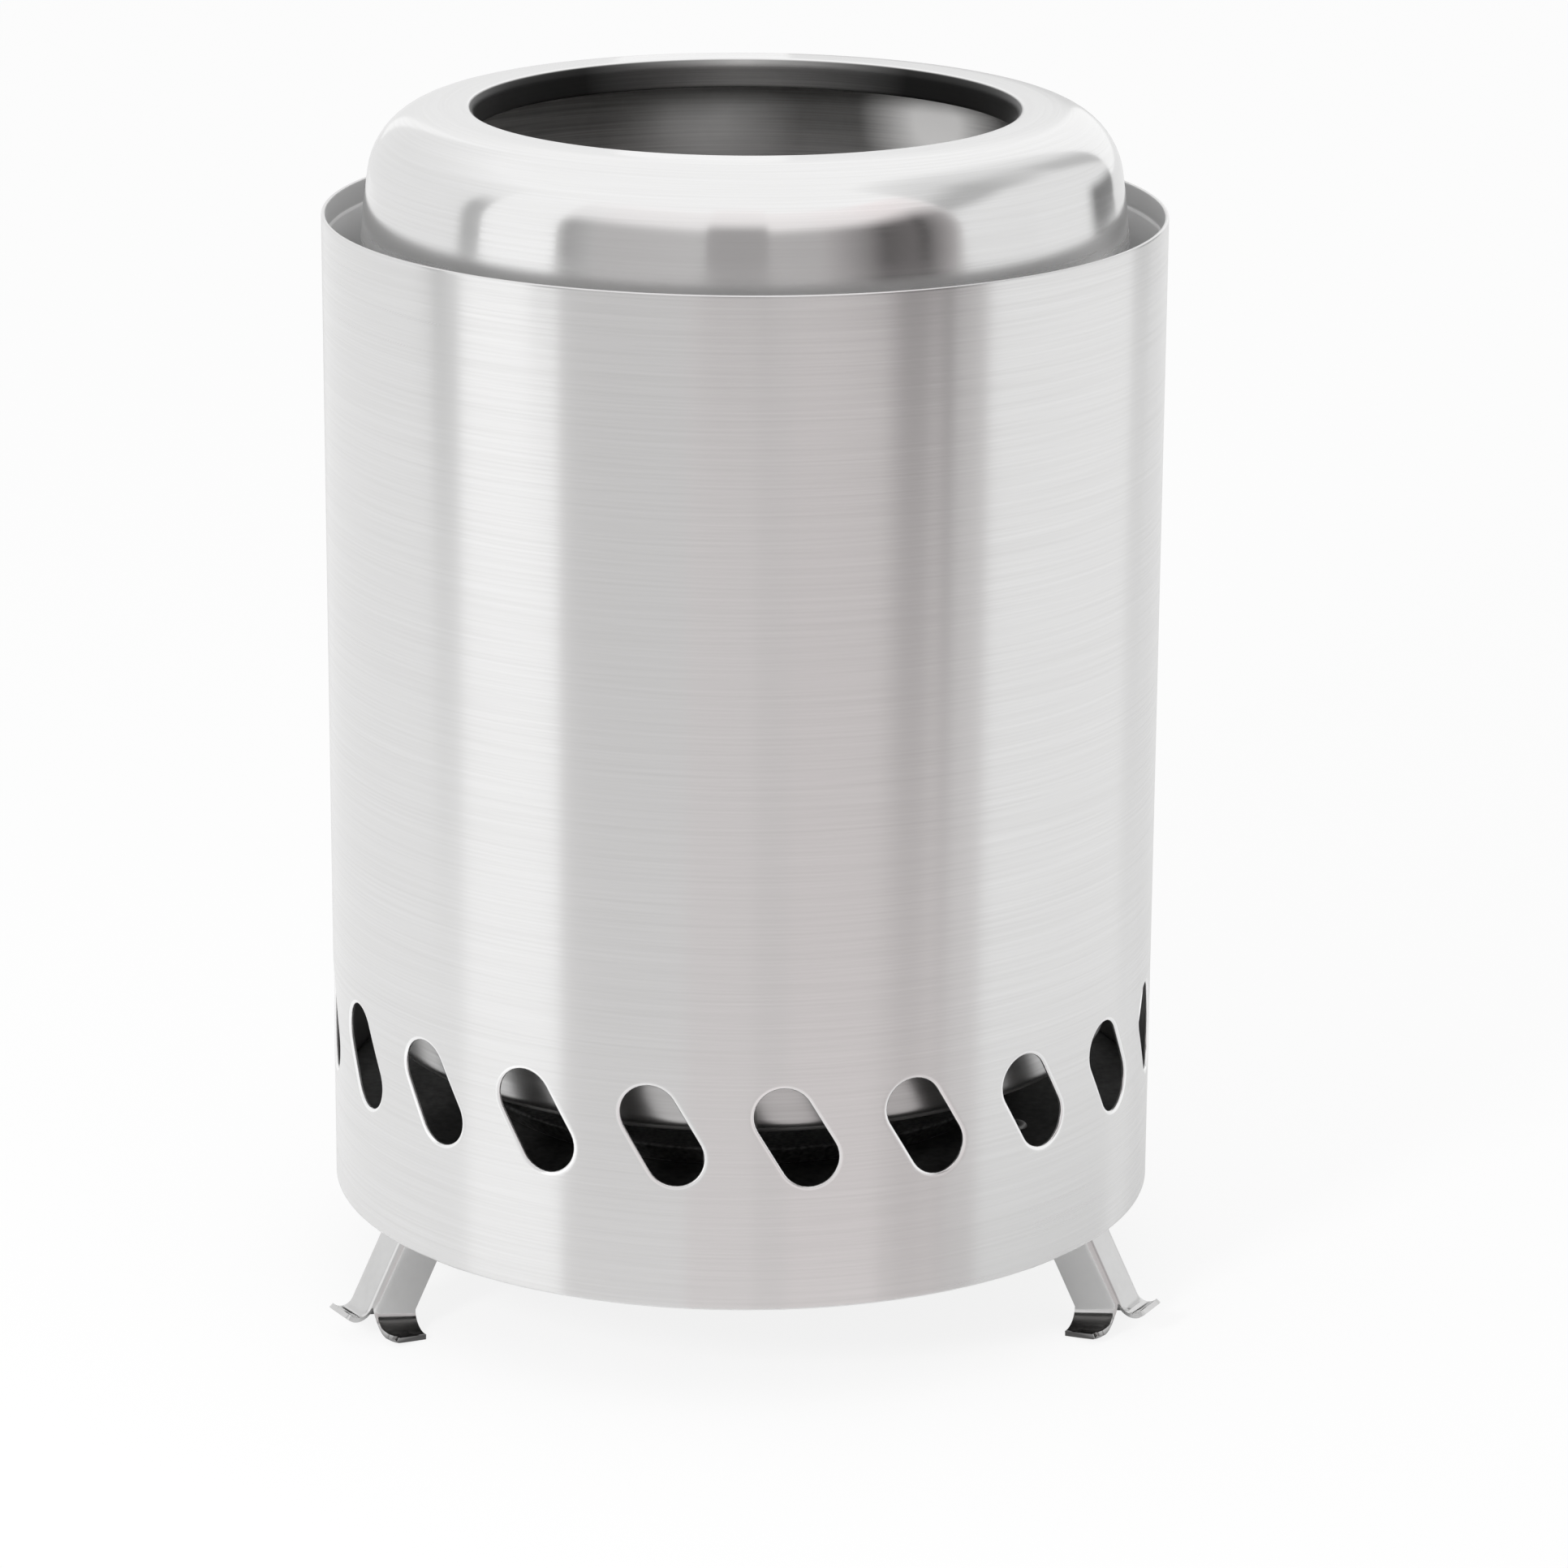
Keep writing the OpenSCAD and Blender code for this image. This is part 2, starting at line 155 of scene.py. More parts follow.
# Place in the stove's frame, and the distance from its axis.
def axisPlace(tree):
    x, y, z = addNode(tree, "ShaderNodeSeparateXYZ", {0: objectPlace(tree)}).outputs
    return x, y, z, hypotenuse(tree, x, y)


# Lines left by brushing round the stove's axis: long along the circle, fine across it.
brushLook = {
    "scales": {"Grain": 1.0, "Bands": 0.45}, "detail": 2.0, "grainShare": 0.7, "low": 0.32, "high": 0.68,
    "streakLow": 0.36, "streakHigh": 0.64, "height": 0.04, "quarterTurn": 0.25}


def makeBrushing():
    group, given, result = newGroup("brushedRound", {"Along": 70.0, "Across": 2600.0}, brushLook["scales"])
    x, y, z, radius = axisPlace(group)
    level = minus(group, z, radius)
    for label, share in brushLook["scales"].items():
        along, across = times(group, given["Along"], share), times(group, given["Across"], share)
        spot = addNode(group, "ShaderNodeCombineXYZ", {0: times(group, x, along), 1: times(group, y, along),
                                                       2: times(group, level, across)})
        group.links.new(noiseNode(group, spot.outputs[0], 1.0, brushLook["detail"]), result[label])
    return group


# Slow change of gloss over a sheet, from handling and rolling.
handlingLook = {"detail": 4.0, "roughness": 0.55, "distortion": 0.6, "low": 0.3, "high": 0.7}


def makeHandling():
    look = handlingLook
    group, given, result = newGroup("handledSheet", {"Scale": 40.0}, ("Smudge",))
    noise = noiseNode(group, objectPlace(group), given["Scale"], look["detail"], look["roughness"],
                      look["distortion"])
    group.links.new(rampNode(group, noise, look["low"], look["high"]), result["Smudge"])
    return group


# Soot and heat stain: an uneven film with specks in it.
sootLook = {
    "detail": 6.0, "roughness": 0.65, "bare": 0.75, "soft": 0.3, "speckScale": 22.0, "speckDetail": 2.0,
    "speckLow": 0.35, "speckHigh": 0.7}


def makeSoot():
    look = sootLook
    group, given, result = newGroup("sootFilm", {"Scale": 60.0, "Cover": 0.5}, ("Soot", "Specks"))
    place = objectPlace(group)
    film = noiseNode(group, place, given["Scale"], look["detail"], look["roughness"])
    low = minus(group, look["bare"], given["Cover"])
    group.links.new(rampNode(group, film, low, plus(group, low, look["soft"])), result["Soot"])
    specks = noiseNode(group, place, times(group, given["Scale"], look["speckScale"]), look["speckDetail"])
    group.links.new(rampNode(group, specks, look["speckLow"], look["speckHigh"]), result["Specks"])
    return group


brushing = makeBrushing()
handling = makeHandling()
sootFilm = makeSoot()


def grey(level, warm=0.0):
    return (level * (1 + warm), level, level * (1 - warm), 1.0)


def newMaterial(name):
    material = bpy.data.materials.new(name)
    material.use_nodes = True
    tree = material.node_tree
    return material, tree, tree.nodes["Principled BSDF"]


def placeGroup(tree, group, values):
    return addNode(tree, "ShaderNodeGroup", values, node_tree=group).outputs


# Tone, gloss and line height of steel brushed round the axis.
def brushedBase(tree, look):
    brush = placeGroup(tree, brushing, {"Along": look["along"], "Across": look["across"]})
    smudge = placeGroup(tree, handling, {"Scale": look["smudgeScale"]})["Smudge"]
    share, low, high = brushLook["grainShare"], brushLook["low"], brushLook["high"]
    lines = plus(tree, times(tree, brush["Grain"], share), times(tree, brush["Bands"], 1 - share))
    colour = mixColours(tree, rampNode(tree, lines, low, high), grey(*look["dark"]), grey(*look["light"]))
    smooth, coarse = look["rough"]
    gloss = plus(tree, rampNode(tree, lines, low, high, coarse, smooth), times(tree, smudge, look["smudge"]))
    return colour, gloss, lines


# Soot laid over that where a mask is 1, thin and brown or thick and black, with specks of ash. It
# follows the brushed lines in part.
def sootOver(tree, film, mask, colour, gloss, lines):
    soot = placeGroup(tree, sootFilm, {"Scale": film["scale"], "Cover": film["cover"]})
    streaks = rampNode(tree, lines, brushLook["streakLow"], brushLook["streakHigh"])
    depth = mixValues(tree, film["streaks"], soot["Soot"], streaks)
    layer = mixColours(tree, depth, grey(*film["stain"]), grey(*film["black"]))
    layer = mixColours(tree, times(tree, soot["Specks"], film["ashShare"]), layer, grey(*film["ash"]))
    layerGloss = rampNode(tree, depth, 0.0, 1.0, *film["rough"])
    dull = times(tree, mask, times(tree, depth, film["dull"]))
    colour = mixColours(tree, mask, colour, layer)
    return colour, mixValues(tree, mask, gloss, layerGloss), minus(tree, 1.0, dull)


def linkSteel(tree, shader, look, colour, gloss, lines, metallic=1.0):
    height = brushLook["height"] / perMetre
    bump = addNode(tree, "ShaderNodeBump", {"Height": lines, "Strength": look["bump"], "Distance": height})
    setInputs(tree, shader, {"Base Color": colour, "Roughness": gloss, "Metallic": metallic,
                             "Normal": bump.outputs[0]})
    if "spread" in look:
        tangent = addNode(tree, "ShaderNodeTangent", direction_type="RADIAL", axis="Z")
        setInputs(tree, shader, {"Tangent": tangent.outputs[0], "Anisotropic": look["spread"],
                                 "Anisotropic Rotation": brushLook["quarterTurn"]})


# Shell: brushed outside, with a painted highlight where its slots' edges are rounded, and painted shade
# and light on its inner face, dark low by the slots and pale near the top. Depths count in from the
# outer face.
shellFinish = {
    "dark": (0.765, 0.004), "light": (0.807, 0.002), "rough": (0.2, 0.25), "spread": 0.85, "along": 32.0,
    "across": 2600.0, "bump": 0.06, "smudgeScale": 24.0, "smudge": 0.03, "slotEdgeHighlight": (0.97, 0.0),
    "highlightStart": (0.01, 0.04), "highlightEnd": (0.4, 0.3), "highlightTop": (71.0, 70.0), "insideDepth": (0.48, 0.56),
    "insideShadeLow": (0.2, 0.01), "insideLitHigh": (0.95, 0.0), "insideShadeLevels": (70.0, 120.0), "insideRough": 0.5,
    "insideShine": 0.15, "rimShadeTone": (0.68, 0.0), "rimBlur": 0.05}


def makeShellMetal():
    look = shellFinish
    material, tree, shader = newMaterial("shellBrushed")
    colour, gloss, lines = brushedBase(tree, look)
    z, radius = axisPlace(tree)[2:]

    def deep(depths):
        return ramped(tree, radius, *(shellHigh.x - depth for depth in depths))

    within = deep(look["insideDepth"])
    # painted shade and light on the inner face: dark low down by the slots, pale near the top, a set grey on
    # the rim band
    inside = mixColours(tree, ramped(tree, z, *look["insideShadeLevels"]), grey(*look["insideShadeLow"]),
                        grey(*look["insideLitHigh"]))
    rimFoot, blur = shellHigh.z - shellLook["rimDrop"], look["rimBlur"]
    rim = ramped(tree, z, rimFoot - blur, rimFoot + blur)
    inside = mixColours(tree, rim, inside, grey(*look["rimShadeTone"]))
    # painted highlight: the rounded slot edges below the rim are painted near white
    edge = times(tree, deep(look["highlightStart"]), deep(look["highlightEnd"]))
    edge = times(tree, edge, ramped(tree, z, *look["highlightTop"]))
    colour = mixColours(tree, edge, mixColours(tree, within, colour, inside), grey(*look["slotEdgeHighlight"]))
    gloss = mixValues(tree, within, gloss, look["insideRough"])
    metallic = mixValues(tree, within, 1.0, look["insideShine"])
    linkSteel(tree, shader, look, colour, gloss, lines, metallic)
    return material


# Flame ring: satin outside and duller towards its foot, smoked on its inner face with pale patches of
# painted light on it, and painted near black on the collar round its mouth as painted shade, with a
# lighter painted reflection at the back.
ringFinish = {
    "dark": (0.84, 0.003), "light": (0.88, 0.001), "rough": (0.1, 0.15), "spread": 0.6, "along": 34.0,
    "across": 2400.0, "bump": 0.05, "smudgeScale": 30.0, "smudge": 0.03, "smokeAndShadeEdge": (42.45, 42.15),
    "faceBlur": 0.1, "lean": 6.0, "leanLong": 8.0, "dullLevels": (175.5, 170.0), "dullFoot": 0.12,
    "collarShadeTone": (0.012, 0.01), "collarWall": (41.7, 41.95), "collarShadeShare": 0.97, "lipShadeShare": 0.98,
    "collarLightPatch": 0.57, "lightPatchAzimuth": 180.0, "lightPatchWide": 27.0, "paleLightTone": (0.93, 0.01), "paleLightShine": 0.05,
    "paleLightCore": 0.3, "paleLightPatches": [(147.5, 14.0, 1.0), (188.0, 17.0, 0.34)],
    "film": {"scale": 22.0, "cover": 0.46, "stain": (0.86, 0.01), "black": (0.44, 0.01), "ash": (0.5, 0.0),
             "ashShare": 0.03, "rough": (0.4, 0.44), "dull": 0.1, "streaks": 0.55}}


def makeRingMetal():
    look = ringFinish
    material, tree, shader = newMaterial("ringSatin")
    colour, gloss, lines = brushedBase(tree, look)
    z, radius = axisPlace(tree)[2:]
    place = objectPlace(tree)
    bend = ringLook["shoulder"]
    level = ringHigh.z - bend

    def nearTo(azimuth, out, height, wide, core):
        middle = atAzimuth(azimuth, out, height) / perMetre
        far = addNode(tree, "ShaderNodeVectorMath", {0: place, 1: middle}, operation="DISTANCE")
        return ramped(tree, far.outputs["Value"], wide, core)

    # how far a point lies from the shoulder's centre line tells the inner face from the outer one
    drop = mathNode(tree, "MAXIMUM", minus(tree, level / perMetre, z), 0.0)
    drop = mathNode(tree, "MINIMUM", drop, look["leanLong"] / perMetre)
    flare = times(tree, drop, tan(radians(look["lean"])))
    across = minus(tree, minus(tree, radius, (ringHigh.x - bend) / perMetre), flare)
    rise = mathNode(tree, "MAXIMUM", minus(tree, z, level / perMetre), 0.0)
    reach = hypotenuse(tree, mathNode(tree, "MAXIMUM", across, 0.0), rise)
    middle, blur = bend - ringLook["sheet"] / 2, look["faceBlur"]
    face = ramped(tree, reach, middle + blur, middle - blur)
    collar = ramped(tree, radius, *look["smokeAndShadeEdge"])
    smoke = mathNode(tree, "MAXIMUM", collar, face)
    colour, gloss, metallic = sootOver(tree, look["film"], smoke, colour, gloss, lines)
    # painted light: pale patches painted on the inner face where light falls
    for azimuth, wide, cover in look["paleLightPatches"]:
        paintedPatch = nearTo(azimuth, ringHigh.x, level, wide, wide * look["paleLightCore"])
        ash = times(tree, paintedPatch, times(tree, face, cover))
        colour = mixColours(tree, ash, colour, grey(*look["paleLightTone"]))
        metallic = mixValues(tree, ash, metallic, look["paleLightShine"])
    # painted shade: the collar round the mouth is painted near black, with a painted lighter patch at the
    # back that stands in for a reflection
    wall = look["collarWall"]
    share = rampNode(tree, ramped(tree, radius, *wall), 0.0, 1.0, look["collarShadeShare"], look["lipShadeShare"])
    backLight = nearTo(look["lightPatchAzimuth"], wall[0], ringHigh.z, look["lightPatchWide"], 0.0)
    share = times(tree, collar, minus(tree, share, times(tree, backLight, look["collarLightPatch"])))
    colour = mixColours(tree, share, colour, grey(*look["collarShadeTone"]))
    gloss = plus(tree, gloss, times(tree, ramped(tree, z, *look["dullLevels"]), look["dullFoot"]))
    linkSteel(tree, shader, look, colour, gloss, lines, metallic)
    return material


# Can: satin outside, where the slots show it, and burnt from the middle of its sheet inwards. Grate,
# tray and base plate: darkened by the fire, each from its own level up. The base plate's own tone is
# painted shade: dark all over, standing in for the shade under the stove.
canFinish = {
    "dark": (0.56, 0.006), "light": (0.63, 0.003), "rough": (0.28, 0.34), "along": 34.0, "across": 2200.0,
    "bump": 0.05, "smudgeScale": 36.0, "smudge": 0.03,
    "inward": (canHigh.x - 0.32, canHigh.x - 0.48),
    "film": {"scale": 26.0, "cover": 0.4, "stain": (0.62, 0.015), "black": (0.2, 0.02), "ash": (0.3, 0.01),
             "ashShare": 0.06, "rough": (0.36, 0.5), "dull": 0.45, "streaks": 0.5}}
grateFinish = {
    "dark": (0.24, 0.04), "light": (0.34, 0.04), "rough": (0.3, 0.44), "along": 90.0, "across": 1500.0,
    "bump": 0.2, "smudgeScale": 60.0, "smudge": 0.1, "upward": (-0.1, 0.1),
    "film": {"scale": 70.0, "cover": 0.55, "stain": (0.17, 0.08), "black": (0.04, 0.02), "ash": (0.3, 0.0),
             "ashShare": 0.3, "rough": (0.38, 0.66), "dull": 0.9, "streaks": 0.1}}
trayFinish = {
    "dark": (0.5, 0.01), "light": (0.62, 0.01), "rough": (0.2, 0.3), "along": 70.0, "across": 1800.0,
    "bump": 0.1, "smudgeScale": 50.0, "smudge": 0.08, "upward": (trayLow.z + 0.3, trayLow.z + 0.5),
    "film": {"scale": 60.0, "cover": 0.55, "stain": (0.1, 0.05), "black": (0.02, 0.02), "ash": (0.24, 0.0),
             "ashShare": 0.35, "rough": (0.35, 0.6), "dull": 0.85, "streaks": 0.1}}
# painted shade: a dark tone all over for the shaded underside; the soot film lies on its top
baseFinish = {
    "dark": (0.2, 0.02), "light": (0.3, 0.02), "rough": (0.28, 0.4), "along": 60.0, "across": 1800.0,
    "bump": 0.12, "smudgeScale": 40.0, "smudge": 0.08, "upward": (baseHigh.z - 0.5, baseHigh.z - 0.3),
    "film": {"scale": 44.0, "cover": 0.6, "stain": (0.08, 0.04), "black": (0.02, 0.02), "ash": (0.16, 0.0),
             "ashShare": 0.25, "rough": (0.35, 0.6), "dull": 0.85, "streaks": 0.15}}


def makeFireMetal(name, look):
    material, tree, shader = newMaterial(name)
    colour, gloss, lines = brushedBase(tree, look)
    z, radius = axisPlace(tree)[2:]
    mask = ramped(tree, radius, *look["inward"]) if "inward" in look else ramped(tree, z, *look["upward"])
    colour, gloss, metallic = sootOver(tree, look["film"], mask, colour, gloss, lines)
    linkSteel(tree, shader, look, colour, gloss, lines, metallic)
    return material


# Small pressed pieces: plain rolled steel with a faint grain, the legs painted dark at their feet as painted
# shade.
rolledLook = {"detail": 3.0, "grainShare": 0.5, "low": 0.1, "high": 0.9}
legFinish = {
    "dark": (0.62, 0.004), "light": (0.72, 0.002), "rough": (0.1, 0.18), "grainScale": 900.0,
    "smudgeScale": 90.0, "bump": 0.05, "footShade": (0.09, 0.01), "footShadeLevels": (2.2, 0.9), "footShadeShare": 0.92}
bracketFinish = {
    "dark": (0.5, 0.01), "light": (0.66, 0.008), "rough": (0.22, 0.36), "grainScale": 1200.0,
    "smudgeScale": 110.0, "bump": 0.12}
rivetFinish = {
    "dark": (0.36, 0.01), "light": (0.48, 0.006), "rough": (0.4, 0.52), "grainScale": 1600.0,
    "smudgeScale": 160.0, "bump": 0.08}


def makeRolledMetal(name, look):
    material, tree, shader = newMaterial(name)
    smudge = placeGroup(tree, handling, {"Scale": look["smudgeScale"]})["Smudge"]
    grain = noiseNode(tree, objectPlace(tree), look["grainScale"], rolledLook["detail"])
    share = rolledLook["grainShare"]
    tone = plus(tree, times(tree, grain, share), times(tree, smudge, 1 - share))
    colour = mixColours(tree, tone, grey(*look["dark"]), grey(*look["light"]))
    if "footShade" in look:
        # painted shade: the legs' lowest few millimetres are painted near black
        footShaded = times(tree, ramped(tree, axisPlace(tree)[2], *look["footShadeLevels"]), look["footShadeShare"])
        colour = mixColours(tree, footShaded, colour, grey(*look["footShade"]))
    gloss = rampNode(tree, tone, rolledLook["low"], rolledLook["high"], *look["rough"])
    linkSteel(tree, shader, look, colour, gloss, grain)
    return material


# mesh helpers

def placeObject(name, data):
    obj = bpy.data.objects.new(name, data)
    scene.collection.objects.link(obj)
    return obj


def finishPiece(name, mesh, body, node, slot, sharp=38.0):
    mesh.name = name
    mesh.transform(Matrix.Scale(1 / perMetre, 4))
    obj = placeObject(name, mesh)
    mesh.shade_smooth()
    if sharp:
        mesh.set_sharp_from_angle(angle=radians(sharp))
    mesh.materials.append(metals[slot])
    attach(obj, body)
    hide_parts(node)
    return obj


def meshFrom(bm, turnOut=True):
    bmesh.ops.remove_doubles(bm, verts=bm.verts, dist=weld)
    if turnOut:
        bmesh.ops.recalc_face_normals(bm, faces=bm.faces)
    mesh = bpy.data.meshes.new("piece")
    bm.to_mesh(mesh)
    bm.free()
    return mesh


def softenEdges(obj, width):
    edge = obj.modifiers.new("edge", "BEVEL")
    edge.width = width / perMetre
    edge.segments = 2
    edge.limit_method = "ANGLE"
    edge.angle_limit = radians(50)
    edge.harden_normals = True


def addRow(bm, points):
    return [bm.verts.new(p) for p in points]


def joinRows(bm, first, second, closed):
    count = len(first)
    for k in range(count if closed else count - 1):
        n = (k + 1) % count
        corners = [first[k], first[n], second[n], second[k]]
        bm.faces.new(list(dict.fromkeys(corners)))


def joinAll(bm, rows, closed):
    for first, second in zip(rows, rows[1:]):
        joinRows(bm, first, second, closed)


def quarterTurns(steps):
    return [pi / 2 * k / steps for k in range(steps + 1)]


# Points along a line of straight runs with round bends, each with its direction. Short extra runs
# beside every bend keep the flats flat in the shading.
def bentLine(corners, bends, steps=8, margin=0.3):
    corners = [Vector(c) for c in corners]
    line, here = [], corners[0]
    for k in range(1, len(corners)):
        corner = end = corners[k]
        last = k == len(corners) - 1
        ahead = (corner - here).normalized()
        if not last:
            before, after = (corner - corners[k - 1]).normalized(), (corners[k + 1] - corner).normalized()
            turn = atan2(before.x * after.y - before.y * after.x, before.dot(after))
            radius = bends[k - 1]
            reach = radius * tan(abs(turn) / 2)
            end = corner - ahead * reach
        run = (end - here).length
        places = [0.0, run] if run < 3 * margin else [0.0, margin, run - margin, run]
        line += [(here + ahead * s, ahead) for s in places]
        if last:
            return line
        normal = Vector((-before.y, before.x)) * (1 if turn > 0 else -1)
        centre = end + normal * radius
        for j in range(1, steps):
            spin = Matrix.Rotation(turn * j / steps, 2)
            line.append((centre - spin @ (normal * radius), spin @ before))
        here = corner + (Matrix.Rotation(turn, 2) @ before) * reach


# Both faces of a sheet that follows such a line, with its end rounded. The start stays open
# unless it is rounded too.
def sheetOutline(corners, bends, thickness, roundStart=True, edge=0.25, steps=8, capSteps=6):
    corners = [Vector(c) for c in corners]
    corners[-1] -= (corners[-1] - corners[-2]).normalized() * edge
    if roundStart:
        corners[0] += (corners[1] - corners[0]).normalized() * edge
    line = bentLine(corners, bends, steps)
    half = thickness / 2
    left = [p + Vector((-d.y, d.x)) * half for p, d in line]
    right = [p - Vector((-d.y, d.x)) * half for p, d in line]

    def cap(place, ahead):
        normal = Vector((-ahead.y, ahead.x))
        turns = [pi / 2 - pi * k / capSteps for k in range(1, capSteps)]
        return [place + normal * half * sin(a) + ahead * edge * cos(a) for a in turns]

    outline = left + cap(*line[-1]) + right[::-1]
    if roundStart:
        place, ahead = line[0]
        outline += cap(place, -ahead)
    return outline


# Turns an outline of (radius, height) round the axis, all the way or between two azimuths.
def turnOutline(bm, outline, columns, closed=True, fromAz=None, toAz=None):
    whole = fromAz is None
    start, span = (0.0, 360.0) if whole else (fromAz, toAz - fromAz)
    count = columns if whole else columns + 1
    rows = []
    for r, z in outline:
        if r < weld:
            pole = bm.verts.new((0, 0, z))
            rows.append([pole] * count)
        else:
            rows.append(addRow(bm, [atAzimuth(start + span * k / columns, r, z) for k in range(count)]))
    joinAll(bm, rows + rows[:1] if closed else rows, whole)
    if not whole:
        for end in (0, -1):
            bm.faces.new([row[end] for row in rows])
    return rows


# Distance from a slot's middle to its edge in a direction: a straight slot with round ends.
def slotEdge(width, length, lean, grow, direction):
    half = (length - width) / 2
    r = width / 2 + grow
    a = direction - radians(lean)
    dx, dy = abs(cos(a)), abs(sin(a))
    if r * dy > half * dx:
        return dy * half + sqrt(max(0.0, (dy * half) ** 2 - half ** 2 + r ** 2))
    return r / dx


# A tube of sheet with a ring of slots through it. topPath and lowPath carry each end's outline from
# one face of the sheet to the other.
pierceLook = {"margin": 0.25, "shares": (1.0, 0.75, 0.5, 0.3, 0.14, 0.0), "lipSteps": 4}


def piercedTube(bm, outer, sheet, pierce, topPath, lowPath):
    look = pierceLook
    count, turn, middle, band = pierce["count"], pierce["turn"], pierce["z"], pierce["band"]
    across, up = pierce["acrossSteps"], pierce["upSteps"]
    wide, deep = pierce["edgeWide"], pierce["edgeDeep"]
    width = 2 * pi * outer / count
    rim = [(-width / 2 + width * k / across, -band) for k in range(across)]
    rim += [(width / 2, -band + 2 * band * k / up) for k in range(up)]
    rim += [(width / 2 - width * k / across, band) for k in range(across)]
    rim += [(-width / 2, band - 2 * band * k / up) for k in range(up)]
    size = (pierce["width"], pierce["length"], pierce["lean"])

    def edgeRing(grow):
        ring = []
        for s, z in rim:
            a = atan2(z, s)
            d = slotEdge(*size, grow, a)
            ring.append((d * cos(a), d * sin(a)))
        return ring

    near = edgeRing(wide + look["margin"])
    face = [[(n[0] + (r[0] - n[0]) * share, n[1] + (r[1] - n[1]) * share) for n, r in zip(near, rim)]
            for share in look["shares"]]
    lip = [(wide * (1 - sin(a)), deep * (1 - cos(a))) for a in quarterTurns(look["lipSteps"])]
    wall = lip + [(g, sheet - d) for g, d in reversed(lip)]
    rings = [(ring, 0.0) for ring in face]
    rings += [(edgeRing(grow), depth) for grow, depth in wall]
    rings += [(ring, sheet) for ring in reversed(face)]
    for c in range(count):
        azimuth = turn + 360 * c / count
        rows = []
        for ring, depth in rings:
            rows.append(addRow(bm, [atAzimuth(azimuth + degrees(s / outer), outer - depth, middle + z)
                                    for s, z in ring]))
        joinAll(bm, rows, True)
    columns = count * across
    start = turn - 180 / count
    for path in (topPath, lowPath):
        rows = [addRow(bm, [atAzimuth(start + 360 * k / columns, r, z) for k in range(columns)])
                for r, z in path]
        joinAll(bm, rows, True)


# outer shell: a brushed tube with leaning slots, its rim pressed thinner down to a fine step inside
shellLook = {
    "sheet": 0.8, "edge": 0.25, "rimSheet": 0.6, "rimDrop": 3.6, "rimStep": 0.3, "rimEdge": 0.22,
    "rimSteps": 4, "margin": 0.3}
shellSlots = {
    "count": 20, "turn": 7.4, "z": 43.1, "band": 10.4, "width": 9.0, "length": 16.8, "lean": 30.7,
    "acrossSteps": 18, "upSteps": 20, "edgeWide": 0.8, "edgeDeep": 0.3}


def makeShell():
    look = shellLook
    t = look["sheet"]
    outer, rim, low = shellHigh.x, shellHigh.z, shellLow.z
    mid, inner, thin = outer - t / 2, outer - t, outer - look["rimSheet"]
    top, bottom = shellSlots["z"] + shellSlots["band"], shellSlots["z"] - shellSlots["band"]
    step, margin, edge = rim - look["rimDrop"], look["margin"], look["rimEdge"]
    turns = quarterTurns(look["rimSteps"])
    topPath = [(inner, top), (inner, top + margin), (inner, step - 2 * margin),
               (inner, step - look["rimStep"]), (thin, step), (thin, step + margin), (thin, rim - 2 * edge)]
    topPath += [(thin + edge * (1 - cos(a)), rim - edge * (1 - sin(a))) for a in turns]
    topPath += [(outer - edge * (1 - sin(a)), rim - edge * (1 - cos(a))) for a in turns]
    topPath += [(outer, rim - 2 * edge), (outer, top + margin), (outer, top)]
    lowPath = sheetOutline([(mid, bottom), (mid, low)], [], t, roundStart=False, edge=look["edge"])
    bm = bmesh.new()
    piercedTube(bm, outer, t, shellSlots, topPath, lowPath)
    return finishPiece("outerShell", meshFrom(bm), "stove_body", "outer_shell", "shell_steel")


# inner can: air holes near its top, a lip turned in below to carry the grate
canLook = {"sheet": 0.8, "lip": 4.2, "bend": 2.0, "edge": 0.2}
canHoles = {
    "count": 36, "turn": 0.0, "band": 3.6, "width": 4.0, "length": 4.0, "lean": 0.0, "acrossSteps": 8,
    "upSteps": 6, "edgeWide": 0.2, "edgeDeep": 0.2, "drop": 15.0}


def makeCan():
    look = canLook
    t = look["sheet"]
    outer, rim, low = canHigh.x, canHigh.z, canLow.z
    mid = outer - t / 2
    holes = dict(canHoles, z=rim - canHoles["drop"])
    top, bottom = holes["z"] + holes["band"], holes["z"] - holes["band"]
    lip = outer - t - look["lip"]
    topPath = sheetOutline([(mid, top), (mid, rim)], [], t, roundStart=False, edge=look["edge"])
    lower = [(mid, bottom), (mid, low + t / 2), (lip, low + t / 2)]
    lowPath = sheetOutline(lower, [look["bend"]], t, roundStart=False, edge=look["edge"])
    bm = bmesh.new()
    piercedTube(bm, outer, t, holes, topPath, lowPath)
    return finishPiece("innerCan", meshFrom(bm), "stove_body", "inner_can", "can_steel")


# flame ring spun from one sheet: collar, land, round shoulder, skirt that leans out a little, spigot
ringLook = {
    "sheet": 0.8, "mouth": 41.6, "collar": 4.6, "collarBend": 1.4, "shoulder": 11.3, "spigotDrop": 8.0,
    "spigotOut": 56.9, "seatBend": 0.6, "lean": 8.0, "kneeRise": 1.7, "kneeOut": 0.51, "kneeBend": 100.0,
    "footLean": 5.5, "footDrop": 4.3, "footBend": 3.0, "spigotBend": 0.4, "bendSteps": 14, "columns": 288}


